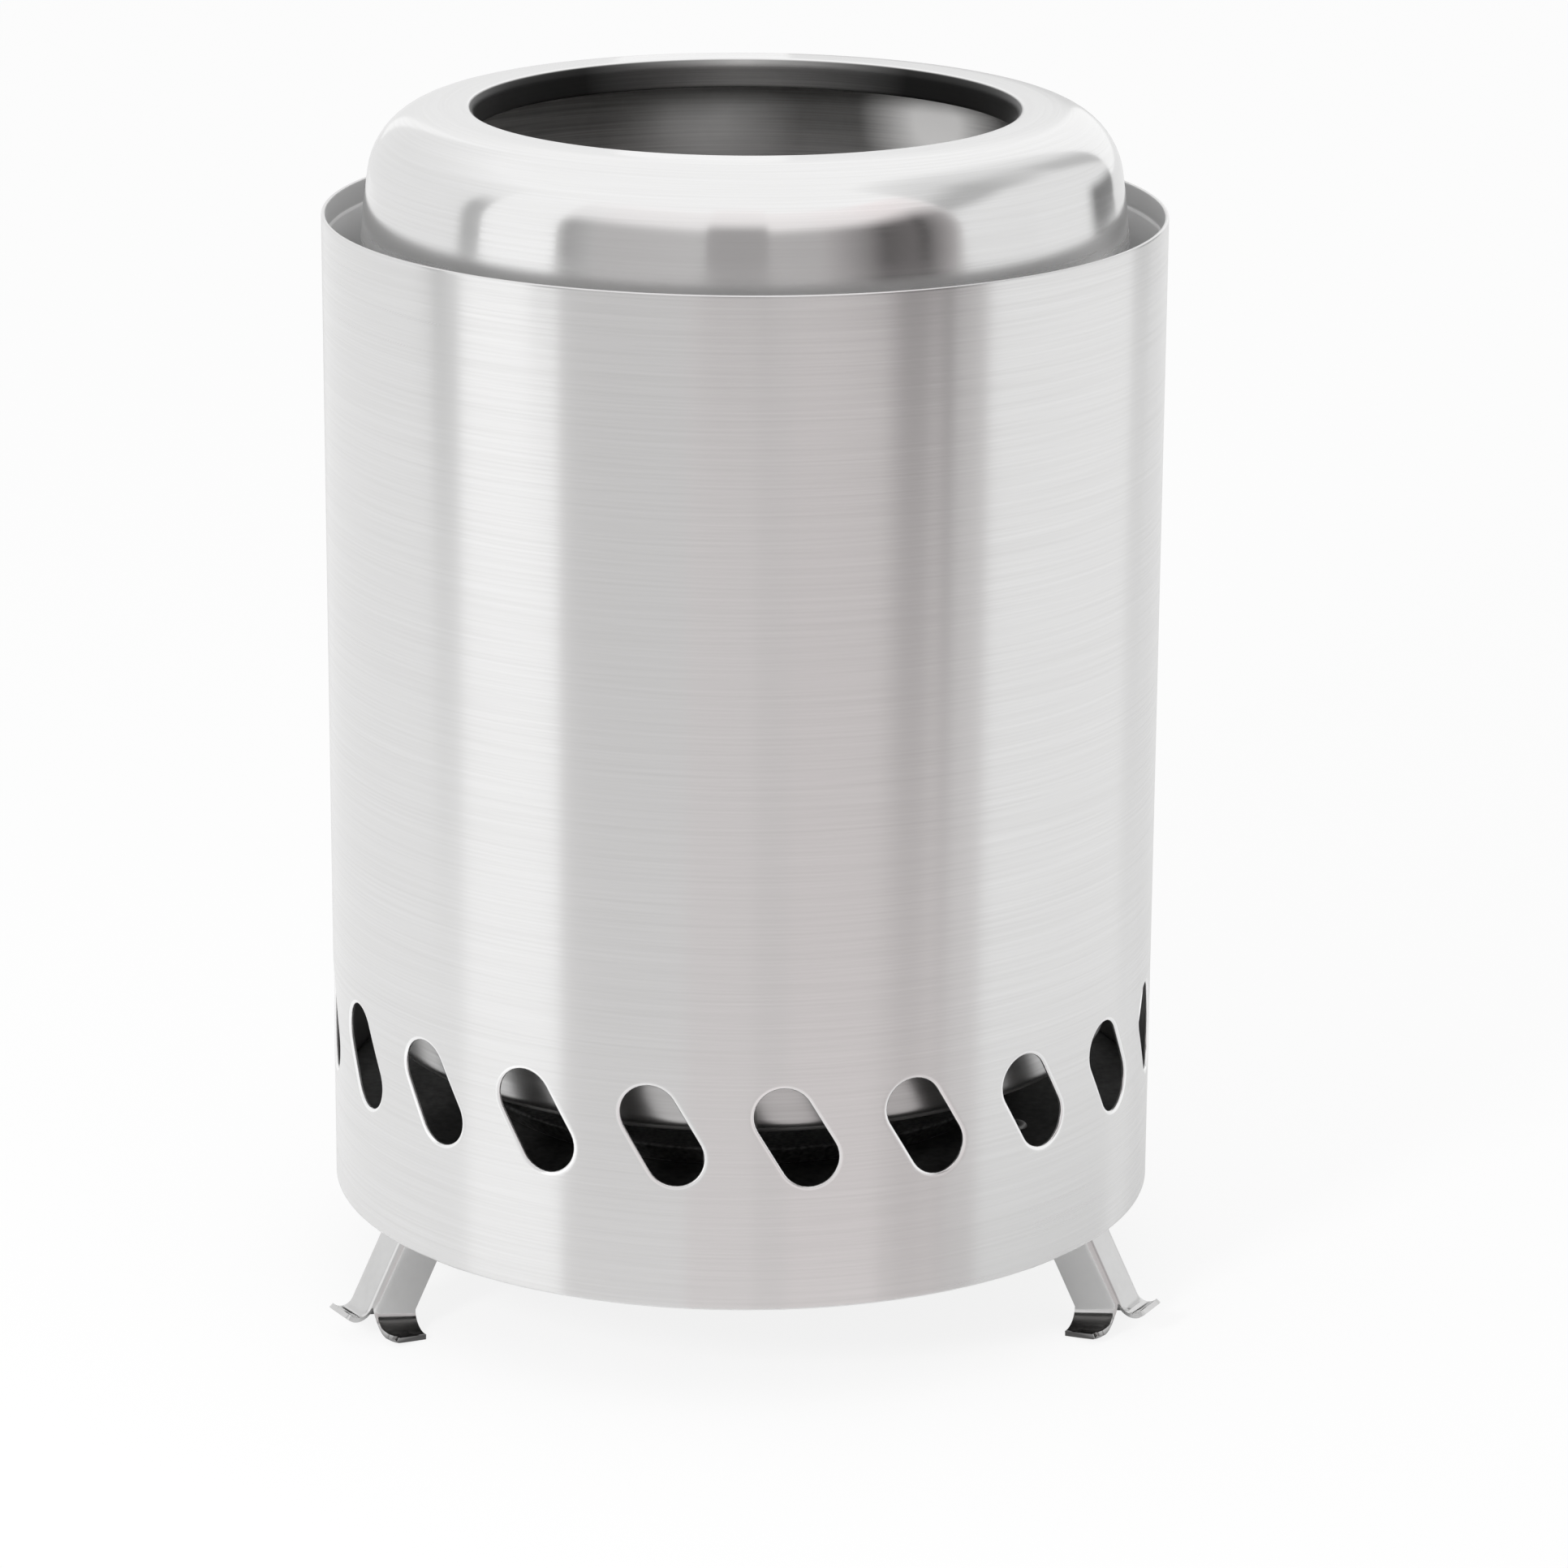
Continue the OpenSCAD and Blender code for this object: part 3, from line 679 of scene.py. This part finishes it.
def makeRing():
    look = ringLook
    t = look["sheet"]
    outer, top = ringHigh.x - t / 2, ringHigh.z - t / 2
    seat = ringLow.z + look["spigotDrop"] + t / 2
    mouth, spigot = look["mouth"] + t / 2, look["spigotOut"] - t / 2
    skirt, knee = outer + look["kneeOut"], shellHigh.z + look["kneeRise"]
    brow = skirt - (top - knee) * tan(radians(look["lean"]))
    footLevel = shellHigh.z - look["footDrop"]
    foot = skirt + (knee - footLevel) * tan(radians(look["footLean"]))
    corners = [(mouth, ringHigh.z - look["collar"]), (mouth, top), (brow, top), (skirt, knee),
               (foot, footLevel), (foot, seat), (spigot, seat), (spigot, ringLow.z)]
    bends = [look["collarBend"] - t / 2, look["shoulder"] - t / 2, look["kneeBend"],
             look["footBend"], look["seatBend"], look["spigotBend"]]
    bm = bmesh.new()
    turnOutline(bm, sheetOutline(corners, bends, t, steps=look["bendSteps"]), look["columns"])
    return finishPiece("flameRing", meshFrom(bm), "flame_ring", "flame_ring", "ring_steel")


# fire grate: a plate with rings of holes round a finger hole
grateLook = {
    "hole": 5.0, "pitch": 9.0, "rim": 4.5, "finger": 20.0, "edge": 0.2, "rimPoints": 192,
    "fingerPoints": 72, "holePoints": 32, "perRing": 6}


def makeGrate():
    look = grateLook
    outer, edge = grateHigh.x, look["edge"]
    curve = bpy.data.curves.new("grateOutline", "CURVE")
    curve.dimensions = "2D"
    curve.fill_mode = "BOTH"
    curve.extrude = (grateHigh.z - grateLow.z) / 2 - edge
    curve.bevel_depth = edge
    curve.bevel_resolution = 2

    def ringSpline(x, y, radius, points):
        spline = curve.splines.new("POLY")
        spline.points.add(points - 1)
        spline.use_cyclic_u = True
        for k in range(points):
            a = 2 * pi * k / points
            spline.points[k].co = (x + radius * cos(a), y + radius * sin(a), 0, 1)

    ringSpline(0, 0, outer - edge, look["rimPoints"])
    ringSpline(0, 0, look["finger"] / 2 + edge, look["fingerPoints"])
    reach = outer - look["rim"] - look["hole"] / 2
    ring, out = 1, look["pitch"]
    while out <= reach:
        count = look["perRing"] * ring
        if out >= look["finger"] / 2 + look["hole"]:
            for k in range(count):
                a = 2 * pi * k / count
                ringSpline(out * cos(a), out * sin(a), look["hole"] / 2 + edge, look["holePoints"])
        ring += 1
        out = ring * look["pitch"]
    holder = placeObject("grateHolder", curve)
    mesh = bpy.data.meshes.new_from_object(holder.evaluated_get(bpy.context.evaluated_depsgraph_get()))
    bpy.data.objects.remove(holder)
    mesh.transform(Matrix.Translation((0, 0, (grateLow.z + grateHigh.z) / 2)))
    return finishPiece("fireGrate", mesh, "fire_grate", "fire_grate", "grate_steel", sharp=50.0)


# A dish turned from a sheet that starts on the axis.
def turnDish(corners, look):
    outline = sheetOutline(corners, [look["bend"]], look["sheet"], roundStart=False)
    outline[0].x = outline[-1].x = 0.0
    bm = bmesh.new()
    turnOutline(bm, outline, look["columns"], closed=False)
    return bm


# ash tray: a shallow pressed dish
trayLook = {"sheet": 0.6, "slope": 3.0, "bend": 1.2, "columns": 192}


def makeTray():
    look = trayLook
    half = look["sheet"] / 2
    floor, edge = trayLow.z + half, trayHigh.x - half
    bm = turnDish([(0.0, floor), (edge - look["slope"], floor), (edge, trayHigh.z)], look)
    return finishPiece("ashTray", meshFrom(bm), "ash_tray", "ash_tray", "tray_steel")


# base plate: a disc with its edge turned down inside the shell
baseLook = {"sheet": 0.8, "bend": 1.2, "columns": 240}


def makeBase():
    half = baseLook["sheet"] / 2
    level, edge = baseHigh.z - half, baseHigh.x - half
    bm = turnDish([(0.0, level), (edge, level), (edge, baseLow.z)], baseLook)
    return finishPiece("basePlate", meshFrom(bm), "stove_body", "base_plate", "base_steel")


metals = {
    "shell_steel": makeShellMetal(),
    "ring_steel": makeRingMetal(),
    "can_steel": makeFireMetal("canFireSide", canFinish),
    "grate_steel": makeFireMetal("grateBurnt", grateFinish),
    "tray_steel": makeFireMetal("trayAshSide", trayFinish),
    "base_steel": makeFireMetal("baseShadeAndSoot", baseFinish),
    "leg_steel": makeRolledMetal("legPolished", legFinish),
    "bracket_steel": makeRolledMetal("bracketPlain", bracketFinish),
    "rivet_steel": makeRolledMetal("rivetPlain", rivetFinish)}
print("materials made:", len(metals))
for make in (makeShell, makeCan, makeRing, makeGrate, makeTray, makeBase):
    made = make()
    print("made", made.name, len(made.data.polygons), "faces")


# brackets between base plate and can, bent from strip
bracketLook = {
    "sheet": 0.8, "width": 8.0, "foot": 9.5, "back": 58.05, "bend": 0.9, "columns": 8,
    "azimuths": {"front": -1.6, "right": 118.4, "left": 238.4}}


def makeBracket(side):
    look = bracketLook
    t = look["sheet"]
    node = "can_bracket_" + side
    low, high = boxOf(node)
    back = look["back"] + t / 2
    foot = back + t / 2 - look["foot"]
    corners = [(foot, low.z + t / 2), (back, low.z + t / 2), (back, high.z)]
    half = degrees(asin(look["width"] / 2 / look["back"]))
    azimuth = look["azimuths"][side]
    bm = bmesh.new()
    outline = sheetOutline(corners, [look["bend"]], t)
    turnOutline(bm, outline, look["columns"], True, azimuth - half, azimuth + half)
    return finishPiece("canBracket" + side.capitalize(), meshFrom(bm), "stove_body", node, "bracket_steel")


for side in bracketLook["azimuths"]:
    makeBracket(side)


# rivets and pins: turned shapes with domed heads
rivetLook = {"shank": 1.2, "head": 1.9, "dome": 0.9, "steps": 6, "columns": 28}
pinLook = {"shank": 1.2, "head": 2.1, "dome": 0.8, "steps": 6, "columns": 32}


def domedOutline(look, low, high):
    head, dome, shank = look["head"], look["dome"], look["shank"]
    upper = [(head * cos(a), high + dome * sin(a)) for a in quarterTurns(look["steps"])[:-1]]
    lower = [(r, low + high - z) for r, z in reversed(upper)]
    return [(0.0, low - dome)] + lower + [(shank, low), (shank, high)] + upper + [(0.0, high + dome)]


# Middle and points of each separate solid in a CAD node.
def nodeIslands(node):
    bm = bmesh.new()
    bm.from_mesh(frame["nodes"][node].data)
    bmesh.ops.remove_doubles(bm, verts=bm.verts, dist=nodeWeld / perMetre)
    done, islands = set(), []
    for start in bm.verts:
        if start in done:
            continue
        done.add(start)
        stack, group = [start], []
        while stack:
            vert = stack.pop()
            group.append(vert.co * perMetre)
            for edge in vert.link_edges:
                other = edge.other_vert(vert)
                if other not in done:
                    done.add(other)
                    stack.append(other)
        low, high = (Vector([pick(v[i] for v in group) for i in range(3)]) for pick in (min, max))
        islands.append(((low + high) / 2, group))
    bm.free()
    return islands


# Each spot: middle, axis and the CAD's points, which give the reach of the heads.
def makeTurned(name, node, look, spots):
    bm = bmesh.new()
    for middle, axis, points in spots:
        reach = max((p - middle).dot(axis) for p in points) - look["dome"]
        rows = turnOutline(bm, domedOutline(look, -reach, reach), look["columns"], closed=False)
        turn = axis.to_track_quat("Z", "Y").to_matrix().to_4x4()
        verts = list(dict.fromkeys(vert for row in rows for vert in row))
        bmesh.ops.transform(bm, matrix=Matrix.Translation(middle) @ turn, verts=verts)
    return finishPiece(name, meshFrom(bm), "stove_body", node, "rivet_steel", sharp=50.0)


def upright(middle):
    return Vector((0, 0, 1))


def outward(middle):
    return Vector((middle.x, middle.y, 0)).normalized()


for name, node, way in (("bracketFootRivets", "bracket_foot_rivets", upright),
                        ("bracketWallRivets", "bracket_wall_rivets", outward),
                        ("clipRivets", "clip_rivets", upright)):
    makeTurned(name, node, rivetLook, [(middle, way(middle), group) for middle, group in nodeIslands(node)])


def makePin(side):
    node = "leg_pin_" + side
    spot = (*jointPlace("leg_" + side + "_fold"), nodeIslands(node)[0][1])
    return makeTurned("legPin" + side.capitalize(), node, pinLook, [spot])


# legs: channels pressed from sheet, with the foot's lips curled out
legLook = {
    "width": 7.0, "depth": 8.1, "sheet": 0.8, "bend": 1.2, "splay": 28.0, "webTop": 1.2, "lipBend": 2.95,
    "lipSweep": 100.0, "lipTilt": 0.1, "lipGrow": 0.1, "lipTrim": 1.5, "heelRise": 5.4, "heelBend": 2.1,
    "heelSweep": 112.0, "taper": 0.5, "taperFrom": -3.0, "taperTo": -9.0, "bevel": 0.12, "rows": 16,
    "curlSteps": 12, "sideSteps": 12, "bendSteps": 7, "webSteps": 6}


def makeLeg(side):
    look = legLook
    node = "leg_" + side
    pin, axis = jointPlace(node + "_fold")
    out = Vector((pin.x, pin.y, 0)).normalized()
    up = Vector((0, 0, 1))
    splay = radians(look["splay"])
    facing = out * cos(splay) + up * sin(splay)
    along = up * cos(splay) - out * sin(splay)
    half, deep = look["width"] / 2, look["depth"] / 2
    flat = deep - look["bend"]
    eye = (deep + flat) / 2
    sideSteps, bendSteps, webSteps, rows = (look[k] for k in ("sideSteps", "bendSteps", "webSteps", "rows"))

    def spot(x, across, y):
        share = min(1.0, max(0.0, (look["taperFrom"] - y) / (look["taperFrom"] - look["taperTo"])))
        inward = max(0.0, (flat - x) / (flat + deep))
        taper = look["taper"] * inward * share * share * (3 - 2 * share)
        return pin + facing * x + axis * across + along * y + out * taper

    def runTo(x, z):
        return (z - pin.z - x * sin(splay)) / cos(splay)

    # each column: kind, place out from the pin, place across the channel, top and fold along the leg
    columns = []
    for k in range(sideSteps + 1):
        x = -deep + (flat + deep) * k / sideSteps
        top = sqrt(max(0.0, eye ** 2 - (x - flat + eye) ** 2))
        fold = look["lipBend"] + look["sheet"] + (look["lipTilt"] + look["lipGrow"]) * (x + deep)
        columns.append(("side", x, half, top, runTo(x, fold)))
    heel, corner = runTo(deep, look["heelRise"]), columns[-1][4]
    for k in range(1, bendSteps):
        a, share = pi / 2 * k / bendSteps, k / bendSteps
        kind, fold = ("side", corner) if share < 0.5 else ("web", heel)
        columns.append((kind, flat + look["bend"] * sin(a), half - look["bend"] * (1 - cos(a)),
                        -look["webTop"] * min(1.0, 2 * share), fold))
    inner = half - look["bend"]
    for k in range(webSteps + 1):
        columns.append(("web", deep, inner - 2 * inner * k / webSteps, -look["webTop"], heel))
    nearSide = columns[:sideSteps + bendSteps]
    columns += [(kind, x, -across, top, fold) for kind, x, across, top, fold in reversed(nearSide)]

    bm = bmesh.new()
    grid = []
    for kind, x, across, top, fold in columns:
        points = [spot(x, across, top + (fold - top) * k / rows) for k in range(rows + 1)]
        for k in range(1, look["curlSteps"] + 1):
            share = k / look["curlSteps"]
            if kind == "side":
                a, bend = radians(look["lipSweep"]) * share, look["lipBend"] + look["lipGrow"] * (x + deep)
                sign = 1 if across > 0 else -1
                trim = look["lipTrim"] * share ** 2 * ((x + deep) / (flat + deep)) ** 2
                curled = spot(x, across, fold) + axis * sign * bend * (1 - cos(a)) - up * bend * sin(a)
                points.append(curled - out * trim)
            else:
                a, bend = radians(look["heelSweep"]) * share, look["heelBend"]
                points.append(spot(x + bend * (1 - cos(a)), across, fold - bend * sin(a)))
        grid.append((kind, addRow(bm, points)))
    for (kindA, first), (kindB, second) in zip(grid, grid[1:]):
        count = len(first) - 1 if kindA == kindB else rows
        for k in range(count):
            bm.faces.new((first[k], first[k + 1], second[k + 1], second[k]))
    bm.normal_update()
    bm.faces.ensure_lookup_table()
    if bm.faces[0].normal.dot(axis) < 0:
        bmesh.ops.reverse_faces(bm, faces=bm.faces)
    obj = finishPiece("leg" + side.capitalize(), meshFrom(bm, False), node, node, "leg_steel", sharp=0)
    thick = obj.modifiers.new("sheet", "SOLIDIFY")
    thick.thickness = look["sheet"] / perMetre
    thick.offset = -1.0
    softenEdges(obj, look["bevel"])
    return obj


for side in ("left", "right", "rear"):
    makePin(side)
    makeLeg(side)
    clip = frame["nodes"]["leg_clip_" + side]
    clip.data.materials.clear()
    clip.data.materials.append(metals["bracket_steel"])
    softenEdges(clip, legLook["bevel"])
print("legs, pins, rivets and brackets made")


# studio: pale floor, white surround, and cards that only the steel sees. The lower row of cards runs
# out along the floor and shows in the shell, and the upper row shows in the flame ring.
studio = {
    "floor": 0.86, "floorGlow": 0.86, "floorMirror": 0.1, "floorRough": 0.9, "floorShine": 0.1,
    "floorReach": 9000.0, "world": 0.92, "cardRadius": 240.0, "cardMiddle": 140.0, "cardFoot": 82.0,
    "middleTurn": 0.89, "footTurn": 0.69, "frontReach": 130.0, "cardLift": 0.6, "cardStep": 3.0,
    "waist": 92.0, "split": 148.0, "fade": 0.38, "veil": 0.88, "veilRise": 110.0}
# azimuths from and to, glow by the stove, at the card's foot, waist and top, warmth
shellCards = [
    (-150, -81, 0.92, 0.92, 0.91, 0.9, 0.0), (-81, -72, 0.92, 0.92, 0.78, 0.52, 0.0),
    (-72, -44, 1.04, 1.06, 1.1, 1.2, 0.0), (-44, -13, 0.81, 0.75, 0.67, 0.77, 0.01),
    (-13, 3, 0.78, 0.73, 0.7, 0.77, 0.04), (3, 11, 0.74, 0.69, 0.66, 0.71, 0.04),
    (11, 33, 0.77, 0.73, 0.66, 0.76, 0.05), (33, 37, 0.67, 0.69, (0.62, 0.5), (0.66, 0.48), 0.05),
    (37, 43.5, 0.64, 0.64, 0.45, 0.42, 0.05), (43.5, 47.4, 0.64, 0.69, 0.6, 0.52, 0.05),
    (47.4, 50, 0.63, 0.63, 0.36, 0.36, 0.05), (50, 59.5, 0.6, 0.74, 0.62, 0.66, 0.03),
    (59.5, 115, 0.7, 0.92, 0.94, 0.97, 0.0), (115, 127, 0.84, 0.84, 0.79, 0.74, 0.0),
    (160, 178, 0.62, 0.62, 0.62, 0.62, 0.0), (186, 205, 0.8, 0.8, 0.8, 0.8, 0.0)]
# azimuths from and to, glow or the glow at each side, height of the top at each side, warmth
ringCards = [
    (-150, -85, 0.84, 330, 300, 0.0), (-85, -82, (0.8, 0.46), 300, 295, 0.0),
    (-82, -76, (0.46, 0.5), 295, 290, 0.0), (-76, -51, 0.99, 290, 270, 0.0),
    (-51, -48, (0.6, 0.36), 280, 285, 0.01), (-48, -40, (0.36, 0.5), 285, 285, 0.01),
    (-40, -10, (0.5, 0.54), 285, 262, 0.02), (-10, 6, 0.37, 295, 295, 0.03),
    (6, 20, (0.47, 0.45), 258, 271, 0.03), (20, 32, (0.45, 0.24), 271, 284, 0.04),
    (32, 37, (0.24, 0.11), 284, 295, 0.05), (37, 45, (0.11, 0.15), 295, 320, 0.06),
    (45, 48.5, (0.15, 0.09), 320, 332, 0.06), (48.5, 51, (0.09, 0.19), 332, 340, 0.05),
    (51, 57, (0.19, 0.38), 340, 350, 0.05), (57, 60, (0.38, 0.66), 350, 350, 0.03),
    (160, 178, 0.7, 230, 230, 0.0), (186, 205, 0.85, 230, 230, 0.0)]
# azimuths from and to, glow at the foot, then rows of height at each side and glow: a soft grey arc
# over a pale field
arcCards = [
    (60, 87, 0.82, [(255, 305, 0.84), (295, 345, 0.5), (325, 408, 0.5), (390, 500, 0.74), (520, 660, 0.82),
        (760, 900, 1.0)]),
    (87, 112, 0.84, [(305, 285, 0.84), (345, 325, (0.5, 0.68)), (408, 355, (0.5, 0.68)), (500, 430, 0.76),
        (660, 560, 0.82), (900, 800, 1.0)]),
    (112, 118, (0.84, 0.2), [(182, 182, (0.84, 0.2)), (214, 210, 0.84), (285, 265, 0.84),
        (325, 298, (0.68, 0.54)), (355, 328, (0.68, 0.54)), (430, 396, 0.76), (560, 500, 0.86),
        (800, 700, 1.0)]),
    (118, 134, (0.2, 0.26), [(182, 178, (0.2, 0.26)), (210, 200, 0.84), (265, 205, 0.84), (298, 215, 0.54),
        (328, 240, 0.54), (396, 285, 0.8), (500, 360, 0.9), (700, 500, 1.0)])]


def makeCardGlow():
    material, tree, shader = newMaterial("cardGlow")
    tree.nodes.remove(shader)
    glow = addNode(tree, "ShaderNodeAttribute", attribute_name="glow").outputs["Color"]
    light = addNode(tree, "ShaderNodeEmission", {"Color": glow, "Strength": 1.0})
    tree.links.new(light.outputs[0], tree.nodes["Material Output"].inputs["Surface"])
    return material


cardGlow = makeCardGlow()


def atSides(glow):
    return glow if isinstance(glow, tuple) else (glow, glow)


def halfway(first, second):
    return tuple((a + b) / 2 for a, b in zip(atSides(first), atSides(second)))


# Rows run from a card's foot to its top: radius, share of the azimuth, height at each side, glow.
def makeCard(name, fromAz, toAz, rows, warm):
    bm = bmesh.new()
    steps = max(2, int((toAz - fromAz) / studio["cardStep"]))
    levels, lines = [], []
    for radius, turn, start, end, glow in rows:
        spots = [((fromAz + (toAz - fromAz) * k / steps) * turn, start + (end - start) * k / steps)
                 for k in range(steps + 1)]
        lines.append(addRow(bm, [atAzimuth(az, radius, z) for az, z in spots]))
        glowFrom, glowTo = atSides(glow)
        levels += [glowFrom + (glowTo - glowFrom) * k / steps for k in range(steps + 1)]
    joinAll(bm, lines, False)
    mesh = bpy.data.meshes.new(name)
    bm.to_mesh(mesh)
    bm.free()
    colours = mesh.attributes.new("glow", "FLOAT_COLOR", "POINT")
    for spot, level in zip(colours.data, levels):
        spot.color = (level, level * (1 - warm), level * (1 - warm), 1.0)
    mesh.transform(Matrix.Scale(1 / perMetre, 4))
    mesh.materials.append(cardGlow)
    card = placeObject(name, mesh)
    card.visible_camera = False
    card.visible_diffuse = False
    card.visible_shadow = False


def makeCards():
    far, split, lift, waist = (studio[k] for k in ("cardRadius", "split", "cardLift", "waist"))
    for k, (fromAz, toAz, near, low, middle, high, warm) in enumerate(shellCards):
        front = toAz < studio["frontReach"]
        rows = [(studio["cardFoot"], studio["footTurn"] if front else 1, lift, lift, near),
                (studio["cardMiddle"], studio["middleTurn"] if front else 1, lift, lift, halfway(near, low)),
                (far, 1, lift, lift, low), (far, 1, waist, waist, middle), (far, 1, split, split, high)]
        makeCard("shellCard%02d" % k, fromAz, toAz, rows, warm)
    for k, (fromAz, toAz, glow, topFrom, topTo, warm) in enumerate(ringCards):
        softFrom, softTo = (top - (top - split) * studio["fade"] for top in (topFrom, topTo))
        rise, veil = studio["veilRise"], tuple(max(level, studio["veil"]) for level in atSides(glow))
        levels = [(split, split, glow), (softFrom, softTo, glow), (topFrom, topTo, veil),
                  (topFrom + rise, topTo + rise, 1.0)]
        rows = [(far, 1, *level) for level in levels]
        makeCard("ringCard%02d" % k, fromAz, toAz, rows, warm)
    for k, (fromAz, toAz, foot, levels) in enumerate(arcCards):
        rows = [(far, 1, *level) for level in [(split, split, foot)] + levels]
        makeCard("arcCard%02d" % k, fromAz, toAz, rows, 0.0)


makeCards()


# 1 for rays from the camera, less for rays that a mirror or glass sends on, 0 for the rest.
def paleRays(tree, straight, mirrored):
    path = addNode(tree, "ShaderNodeLightPath").outputs
    seen = times(tree, path["Is Camera Ray"], straight)
    bounced = plus(tree, path["Is Glossy Ray"], path["Is Transmission Ray"])
    return mathNode(tree, "ADD", seen, times(tree, bounced, mirrored), clamp=True)


def makeFloor():
    mesh = bpy.data.meshes.new("floor")
    reach = studio["floorReach"] / perMetre
    mesh.from_pydata([(-reach, -reach, 0), (reach, -reach, 0), (reach, reach, 0), (-reach, reach, 0)], [],
                     [(0, 1, 2, 3)])
    floor = placeObject("floor", mesh)
    material, tree, shader = newMaterial("paleFloor")
    setInputs(tree, shader, {"Base Color": grey(studio["floor"]), "Roughness": studio["floorRough"],
                             "Specular IOR Level": studio["floorShine"]})
    glow = addNode(tree, "ShaderNodeEmission", {"Color": (1, 1, 1, 1), "Strength": 1.0})
    share = paleRays(tree, studio["floorGlow"], studio["floorMirror"])
    mix = addNode(tree, "ShaderNodeMixShader", {0: share, 1: shader.outputs[0], 2: glow.outputs[0]})
    tree.links.new(mix.outputs[0], tree.nodes["Material Output"].inputs["Surface"])
    mesh.materials.append(material)


# A soft lamp low at the front left lights the ring's inner face, where pale patches are painted as painted
# light. The steel doesn't mirror it.
lampLook = {"azimuth": -31.0, "away": 600.0, "height": 345.0, "aim": 175.0, "size": 120.0, "power": 2.1}


def makeLamp():
    look = lampLook
    data = bpy.data.lights.new("softLamp", "AREA")
    data.energy = look["power"]
    data.size = look["size"] / perMetre
    lamp = placeObject("softLamp", data)
    place = atAzimuth(look["azimuth"], look["away"], look["height"])
    ahead = Vector((0, 0, look["aim"])) - place
    turn = ahead.to_track_quat("-Z", "Y").to_matrix().to_4x4()
    lamp.matrix_world = Matrix.Translation(place / perMetre) @ turn
    lamp.visible_camera = False
    lamp.visible_glossy = False


def makeWorld():
    world = bpy.data.worlds.new("studioWorld")
    scene.world = world
    world.use_nodes = True
    tree = world.node_tree
    level = rampNode(tree, paleRays(tree, 1.0, 1.0), 0.0, 1.0, studio["world"], 1.0)
    setInputs(tree, tree.nodes["Background"], {"Color": (1, 1, 1, 1), "Strength": level})


makeFloor()
makeLamp()
makeWorld()
scene.view_settings.view_transform = "Standard"


# camera: where the photograph was taken from, measured from the middle of the rim
viewpoint = {
    "distance": 906.1, "rise": 10.991, "turn": 0.42, "dip": 16.584, "roll": 0.373, "focalPixels": 7232.6,
    "framePixels": 1932.0, "sensor": 36.0, "clip": (0.01, 50.0)}


def makeCamera():
    look = viewpoint
    data = bpy.data.cameras.new("photoCamera")
    camera = placeObject("photoCamera", data)
    scene.camera = camera
    data.sensor_width = look["sensor"]
    data.lens = look["focalPixels"] * look["sensor"] / look["framePixels"]
    data.clip_start, data.clip_end = look["clip"]
    rise, turn, dip, roll = (radians(look[k]) for k in ("rise", "turn", "dip", "roll"))
    place = Vector((0, -cos(rise), sin(rise))) * look["distance"] + Vector((0, 0, shellHigh.z))
    ahead = Vector((sin(turn) * cos(dip), cos(turn) * cos(dip), -sin(dip)))
    right = Vector((cos(turn), -sin(turn), 0))
    up = right.cross(ahead)
    tiltRight = right * cos(roll) + up * sin(roll)
    tiltUp = up * cos(roll) - right * sin(roll)
    axes = Matrix((tiltRight, tiltUp, -ahead)).transposed().to_4x4()
    camera.matrix_world = Matrix.Translation(place / perMetre) @ axes


makeCamera()
print("studio and camera set")
